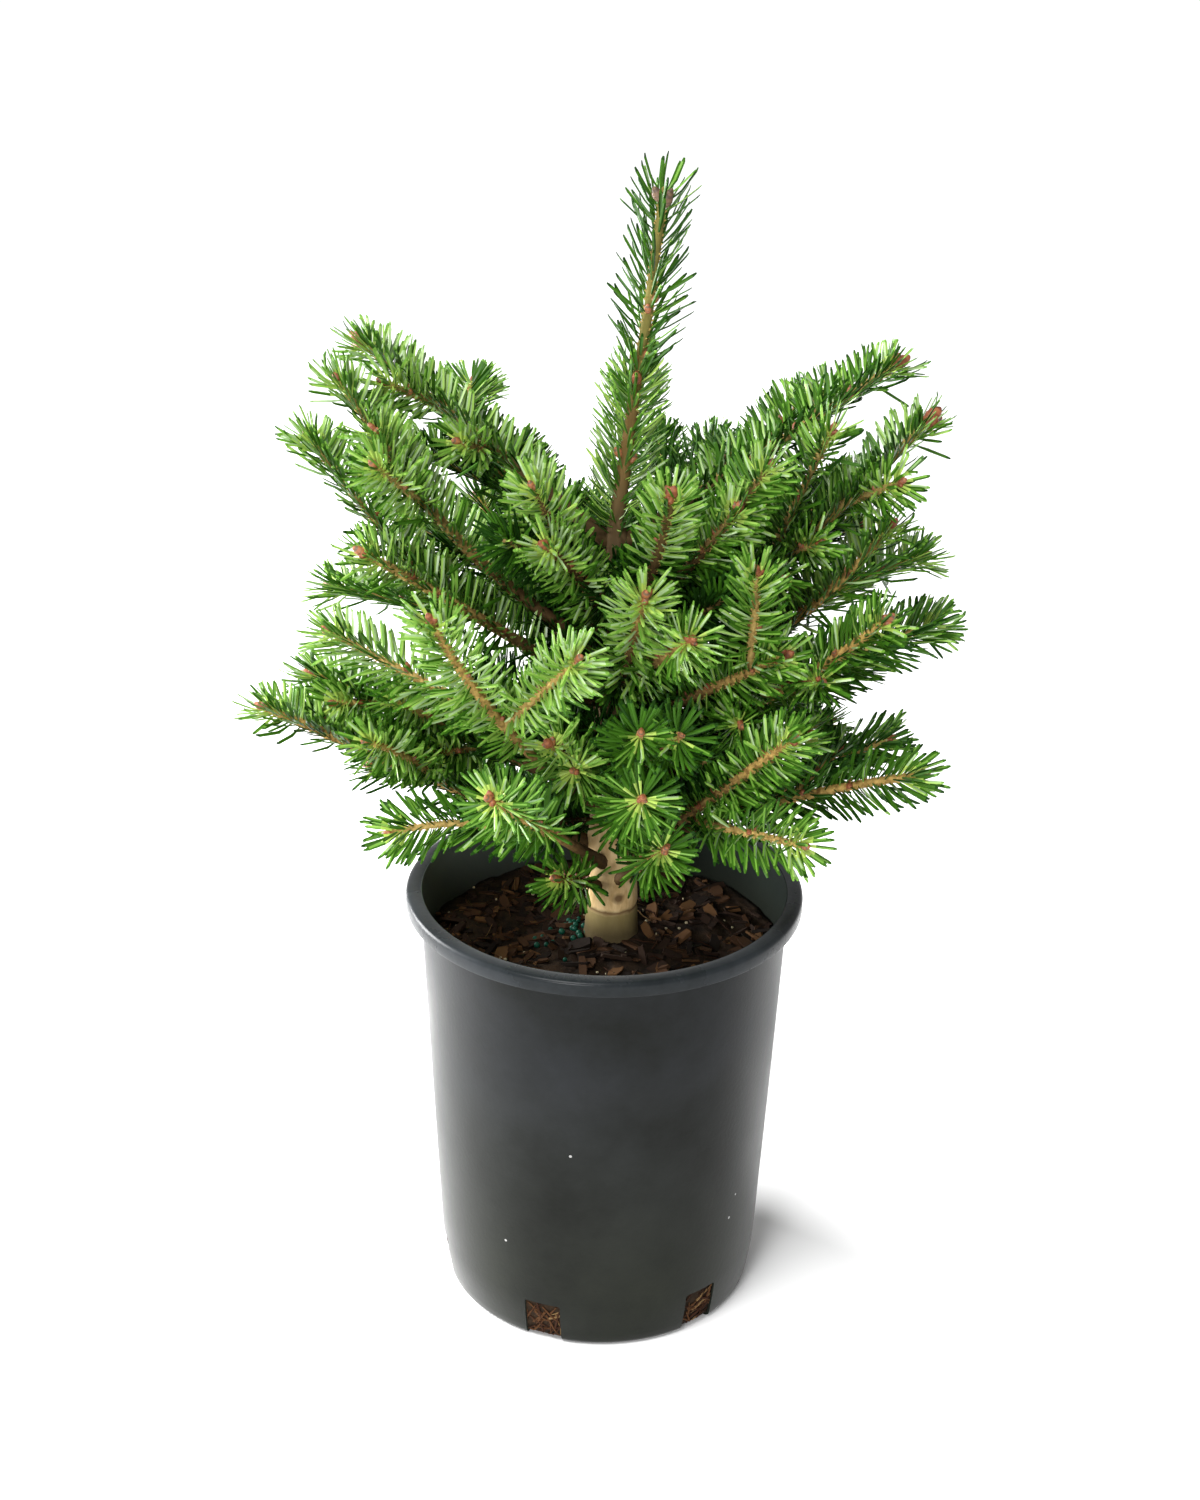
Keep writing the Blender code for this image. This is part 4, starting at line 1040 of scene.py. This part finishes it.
def makeBuds():
    matrices = []
    for height, bearing, size in bud["leader"]:
        aim = heading(bearing, bud["rise"])
        outward = heading(bearing, 0) * (trunkRadius(height) + bud["radius"] * size * bud["outside"])
        inward = aim * bud["length"] * size * bud["sunk"]
        matrices.append(budAt(trunkAt(height) + outward - inward, aim, size))
    for shoot in shoots:
        if shoot["bough"] not in ("leader", "inner"):
            matrices += [*tipBuds(shoot), *nodeBuds(shoot)]
    finishes = plainFinishes("budScales", bud["tones"], bud["roughness"])
    slots = dice.integers(0, 2, len(matrices))
    slots[:bud["greyest"]] = 2  # the leader's own buds at its tip
    shape = spinProfile(bud["profile"], bud["steps"])
    mesh = placeCopies(shape, matrices, slots, "buds", finishes, bud["bands"])
    return addPiece("buds", mesh, (), finishes)


budPiece = makeBuds()
print("buds made,", faceCount(budPiece), "faces")


# Soil: bark mix with chips, fibres, grit and feed pellets

soil = dict(
    # its finish has the scale of the grain, the roughness and the relief
    finish=(120.0, 0.95, 0.002), topBand=0.001, scatterFrom=0.02, lumpNoise=(0.7, 2.2, 5), lumpSlice=3.1,
    top=0.212, floor=0.0033, gap=0.0003, levels=(0.01, 0.02, 0.03, 0.11), rings=30, steps=128, lumpPitch=42,
    lumps=0.0032, mound=0.009, moundReach=0.03, tones=((0.01, 0.007, 0.005), (0.034, 0.02, 0.011)))
chip = dict(
    # its shape: cuts across it, how pointed and how curled it is, and how uneven along each axis
    cuts=2, pointed=0.55, curl=0.3, curlWaves=3, uneven=(0.08, 0.1, 0.12),
    count=620, reach=0.0965, edge=0.0985, trunkGap=0.018, lengths=(0.007, 0.02), widths=(0.003, 0.008),
    depths=(0.0008, 0.0022), small=0.6, tilts=(0.35, 0.25), lifts=(0.0, 0.0025), sharpAngle=35,
    roughness=0.85, specular=0.12, shares=(0.38, 0.27, 0.12, 0.23),
    tones=((0.024, 0.013, 0.008), (0.05, 0.024, 0.011), (0.098, 0.048, 0.019), (0.013, 0.0085, 0.006)))
crumb = dict(
    pellets=30, pelletPlace=((-0.022, -0.002), (0.009, 0.01)), pelletSizes=(0.0013, 0.0019),
    pelletLift=0.0012, pelletTone=(0.003, 0.064, 0.038), grit=45, gritReach=0.095,
    gritSizes=(0.0004, 0.0011), gritLift=0.0018, gritTone=(0.34, 0.29, 0.18),
    pelletLooks=dict(roughness=0.45, specular=0.2), gritLooks=dict(roughness=0.7))
strand = dict(
    count=60, reach=0.09, edge=0.097, lengths=(0.008, 0.026), bows=(-0.25, 0.25), lift=0.0016, arch=0.003,
    radii=(0.0002, 0.0005), taper=((0, 0.3, 1), (0.7, 1.0, 0.4)), points=9, fewest=5, sides=5,
    roughness=0.8, specular=0.08,
    tones=((0.034, 0.014, 0.007), (0.072, 0.032, 0.013), (0.17, 0.105, 0.045)), shares=(0.5, 0.37, 0.13),
    # the roots and bark in each drain notch
    roots=30, rootTurn=6.2, rootHeights=(0.005, 0.022), rootLengths=(0.008, 0.019),
    rootRadii=(0.0003, 0.0009), rootZ=(0.004, 0.0262), rootSwing=0.112, rootRadius=0.088, rootOut=0.0001,
    rootSlope=(0.9, 0.9), rootWave=0.0012, rootWaves=3)


def soilHeight(x, y):
    pitch = soil["lumpPitch"]
    lumps = noise.fractal(Vector((x * pitch, y * pitch, soil["lumpSlice"])), *soil["lumpNoise"])
    away = math.hypot(x - trunk["axis"], y)
    return soil["top"] + soil["lumps"] * lumps + soil["mound"] * math.exp(-(away / soil["moundReach"]) ** 2)


def makeSoil():
    top, gap, rings = soil["top"], soil["gap"], soil["rings"]
    rim = wallRadius(top, True) - gap
    profile = [(0, soil["floor"])]
    profile += [(wallRadius(height, True) - gap, height) for height in (soil["floor"], *soil["levels"])]
    profile += [(rim * (1 - i / rings), top) for i in range(rings + 1)]
    bm = spinProfile(profile, soil["steps"])
    for v in bm.verts:
        if v.co.z > top - soil["topBand"]:
            v.co.z = soilHeight(v.co.x, v.co.y)
    finish = grownFinish("soilMix", soil["tones"], *soil["finish"])
    return addPiece("soil_mix", bm, ["soil"], [finish])


def chipShape():
    bm = bmesh.new()
    bmesh.ops.create_cube(bm, size=1.0)
    lengthwise = [edge for edge in bm.edges if abs(edge.verts[0].co.x - edge.verts[1].co.x) > 0.5]
    bmesh.ops.subdivide_edges(bm, edges=lengthwise, cuts=chip["cuts"], use_grid_fill=True)
    for v in bm.verts:
        ends, sides, faces = [dice.uniform(-most, most) for most in chip["uneven"]]
        v.co.x += ends
        v.co.y *= 1 - chip["pointed"] * abs(v.co.x) + sides
        v.co.z += chip["curl"] * math.sin(v.co.x * chip["curlWaves"]) + faces
    return bm


def scatter(reach):
    radius, bearing = reach * math.sqrt(dice.uniform(soil["scatterFrom"], 1)), dice.uniform(0, math.tau)
    return radius * math.cos(bearing), radius * math.sin(bearing)


def makeChips():
    matrices = []
    while len(matrices) < chip["count"]:
        x, y = scatter(chip["reach"])
        size = Vector([dice.uniform(*chip[key]) for key in ("lengths", "widths", "depths")])
        size *= chip["small"] if len(matrices) % 3 else 1.0
        byTrunk = math.hypot(x - trunk["axis"], y) < chip["trunkGap"]
        if byTrunk or math.hypot(x, y) + size.x / 2 > chip["edge"]:
            continue
        turn = Matrix.Rotation(dice.uniform(0, math.tau), 4, "Z")
        for tilt, axis in zip(chip["tilts"], "XY"):
            turn = turn @ Matrix.Rotation(dice.normal(0, tilt), 4, axis)
        matrices.append(sized((x, y, soilHeight(x, y) + dice.uniform(*chip["lifts"])), size, turn))
    finishes = plainFinishes("barkChip", chip["tones"], chip["roughness"], chip["specular"])
    shape = chipShape()
    slots = dice.choice(len(finishes), len(matrices), p=chip["shares"])
    mesh = placeCopies(shape, matrices, slots, "bark_chips", finishes)
    mesh.set_sharp_from_angle(angle=math.radians(chip["sharpAngle"]))
    return addPiece("bark_chips", mesh, (), finishes)


def makeCrumbs():
    # Feed pellets in a cluster by the trunk, and pale grit all over
    matrices = []
    for k in range(crumb["pellets"]):
        x, y = dice.normal(*crumb["pelletPlace"])
        place = (x, y, soilHeight(x, y) + crumb["pelletLift"])
        matrices.append(sized(place, (dice.uniform(*crumb["pelletSizes"]),) * 3))
    for k in range(crumb["grit"]):
        x, y = scatter(crumb["gritReach"])
        place = (x, y, soilHeight(x, y) + crumb["gritLift"])
        matrices.append(sized(place, dice.uniform(*crumb["gritSizes"], 3)))
    bm = bmesh.new()
    bmesh.ops.create_icosphere(bm, subdivisions=2, radius=1.0)
    finishes = [plainFinish("feedPellet", crumb["pelletTone"], **crumb["pelletLooks"]),
                plainFinish("paleGrit", crumb["gritTone"], **crumb["gritLooks"])]
    slots = [0] * crumb["pellets"] + [1] * crumb["grit"]
    mesh = placeCopies(bm, matrices, slots, "soil_crumbs", finishes)
    return addPiece("soil_crumbs", mesh, (), finishes)


def strandOnSoil(steps):
    x, y = scatter(strand["reach"])
    turn, length = dice.uniform(0, math.tau), dice.uniform(*strand["lengths"])
    bow = dice.uniform(*strand["bows"])
    points = []
    for t in steps:
        rest = 0.25 - t * t
        px = x + length * (t * math.cos(turn) - bow * rest * math.sin(turn))
        py = y + length * (t * math.sin(turn) + bow * rest * math.cos(turn))
        if math.hypot(px, py) < strand["edge"]:
            points.append((px, py, soilHeight(px, py) + strand["lift"] + strand["arch"] * rest))
    return points


def rootInNotch(bearing, k, steps):
    middle = math.radians(bearing)
    turn = math.radians(bearing + dice.uniform(-strand["rootTurn"], strand["rootTurn"]))
    height, slope = dice.uniform(*strand["rootHeights"]), dice.normal(*strand["rootSlope"])
    length = dice.uniform(*strand["rootLengths"])
    lowest, highest = strand["rootZ"]
    points = []
    for t in steps:
        z = min(max(height + length * t * math.sin(slope), lowest), highest)
        swing = turn + length * t * math.cos(slope) / strand["rootRadius"]
        swing = middle + max(-strand["rootSwing"], min(strand["rootSwing"], swing - middle))
        wave = strand["rootWave"] * math.sin(strand["rootWaves"] * t + k) * (0.5 - abs(t))
        depth = wallRadius(z, True) + strand["rootOut"] + wave
        points.append((depth * math.cos(swing), depth * math.sin(swing), z))
    return points


def makeStrands():
    # Fibres on the soil, and the roots and bark that show in the drain notches
    steps = np.linspace(-0.5, 0.5, strand["points"])
    parts = []
    for k in range(strand["count"]):
        points = strandOnSoil(steps)
        if len(points) >= strand["fewest"]:
            parts.append((points, dice.uniform(*strand["radii"])))
    for bearing in notchBearings():
        for k in range(strand["roots"]):
            parts.append((rootInNotch(bearing, k, steps), dice.uniform(*strand["rootRadii"])))
    tubes = []
    for points, radius in parts:
        taper = np.interp(np.linspace(0, 1, len(points)), *strand["taper"])
        bm = sweep(points, radius * taper, strand["sides"])
        slot = int(dice.choice(len(strand["tones"]), p=strand["shares"]))
        for face in bm.faces:
            face.material_index = slot
        tubes.append(bm)
    finishes = plainFinishes("fibre", strand["tones"], strand["roughness"], strand["specular"])
    return addPiece("soil_fibres", joinSweeps(tubes), (), finishes)


soilPieces = [makeSoil(), makeChips(), makeCrumbs(), makeStrands()]
print("soil dressed,", faceCount(*soilPieces), "faces")


# Floor, light and camera

studio = dict(floorTone=(0.96, 0.96, 0.96), floorSize=12.0, floorLooks=(0.9, 0.1),
              skyTone=(1.0, 1.0, 1.0), skyStrength=0.4,
              sun=dict(bearing=236, height=62, spread=24, strength=2.55),
              front=dict(place=(-0.7, -2.2, 1.05), size=0.8, watts=34, aim=(0, 0, 0.32)),
              side=dict(place=(-1.7, 0.7, 0.7), size=1.2, watts=124, aim=(0, 0, 0.25)))
view = dict(place=(-0.0038, -1.263, 0.906), pitch=24.54, roll=0.98, focal=2564, frameHeight=1500, sensor=36)


def addLamp(name, kind, energy, place, away, **settings):
    # away points from what the lamp lights back to the lamp
    light = bpy.data.lights.new(name, kind)
    light.energy = energy
    for key, value in settings.items():
        setattr(light, key, value)
    lamp = addObject(name, light)
    lamp.location = place
    lamp.rotation_euler = Vector(away).to_track_quat("Z", "Y").to_euler()


def makeStudio():
    bm = bmesh.new()
    bmesh.ops.create_grid(bm, x_segments=2, y_segments=2, size=studio["floorSize"])
    floor = addObject("floor", meshFrom(bm, "floor"))
    floor.data.materials.append(plainFinish("floorPale", studio["floorTone"], *studio["floorLooks"]))
    world = bpy.data.worlds.new("studio")
    world.use_nodes = True
    sky = world.node_tree.nodes["Background"].inputs
    feed(world.node_tree, sky["Color"], studio["skyTone"])
    feed(world.node_tree, sky["Strength"], studio["skyStrength"])
    bpy.context.scene.world = world
    sun = studio["sun"]
    addLamp("sun", "SUN", sun["strength"], (0, 0, 0), heading(sun["bearing"], sun["height"]),
            angle=math.radians(sun["spread"]))
    for name in ("front", "side"):
        lamp = studio[name]
        away = Vector(lamp["place"]) - Vector(lamp["aim"])
        addLamp(name, "AREA", lamp["watts"], lamp["place"], away, shape="DISK", size=lamp["size"])
    bpy.context.scene.view_settings.view_transform = "Standard"


def makeCamera():
    lens = bpy.data.cameras.new("camera")
    lens.sensor_width = view["sensor"]
    lens.lens = view["focal"] * view["sensor"] / view["frameHeight"]
    camera = addObject("camera", lens)
    pitch, roll = math.radians(view["pitch"]), math.radians(view["roll"])
    level = Vector((1, 0, 0))
    forward = Vector((0, math.cos(pitch), -math.sin(pitch)))
    levelUp = level.cross(forward)
    right = level * math.cos(roll) + levelUp * math.sin(roll)
    up = levelUp * math.cos(roll) - level * math.sin(roll)
    camera.matrix_world = Matrix.Translation(view["place"]) @ turnTo(right, up, -forward)
    bpy.context.scene.camera = camera


makeStudio()
makeCamera()
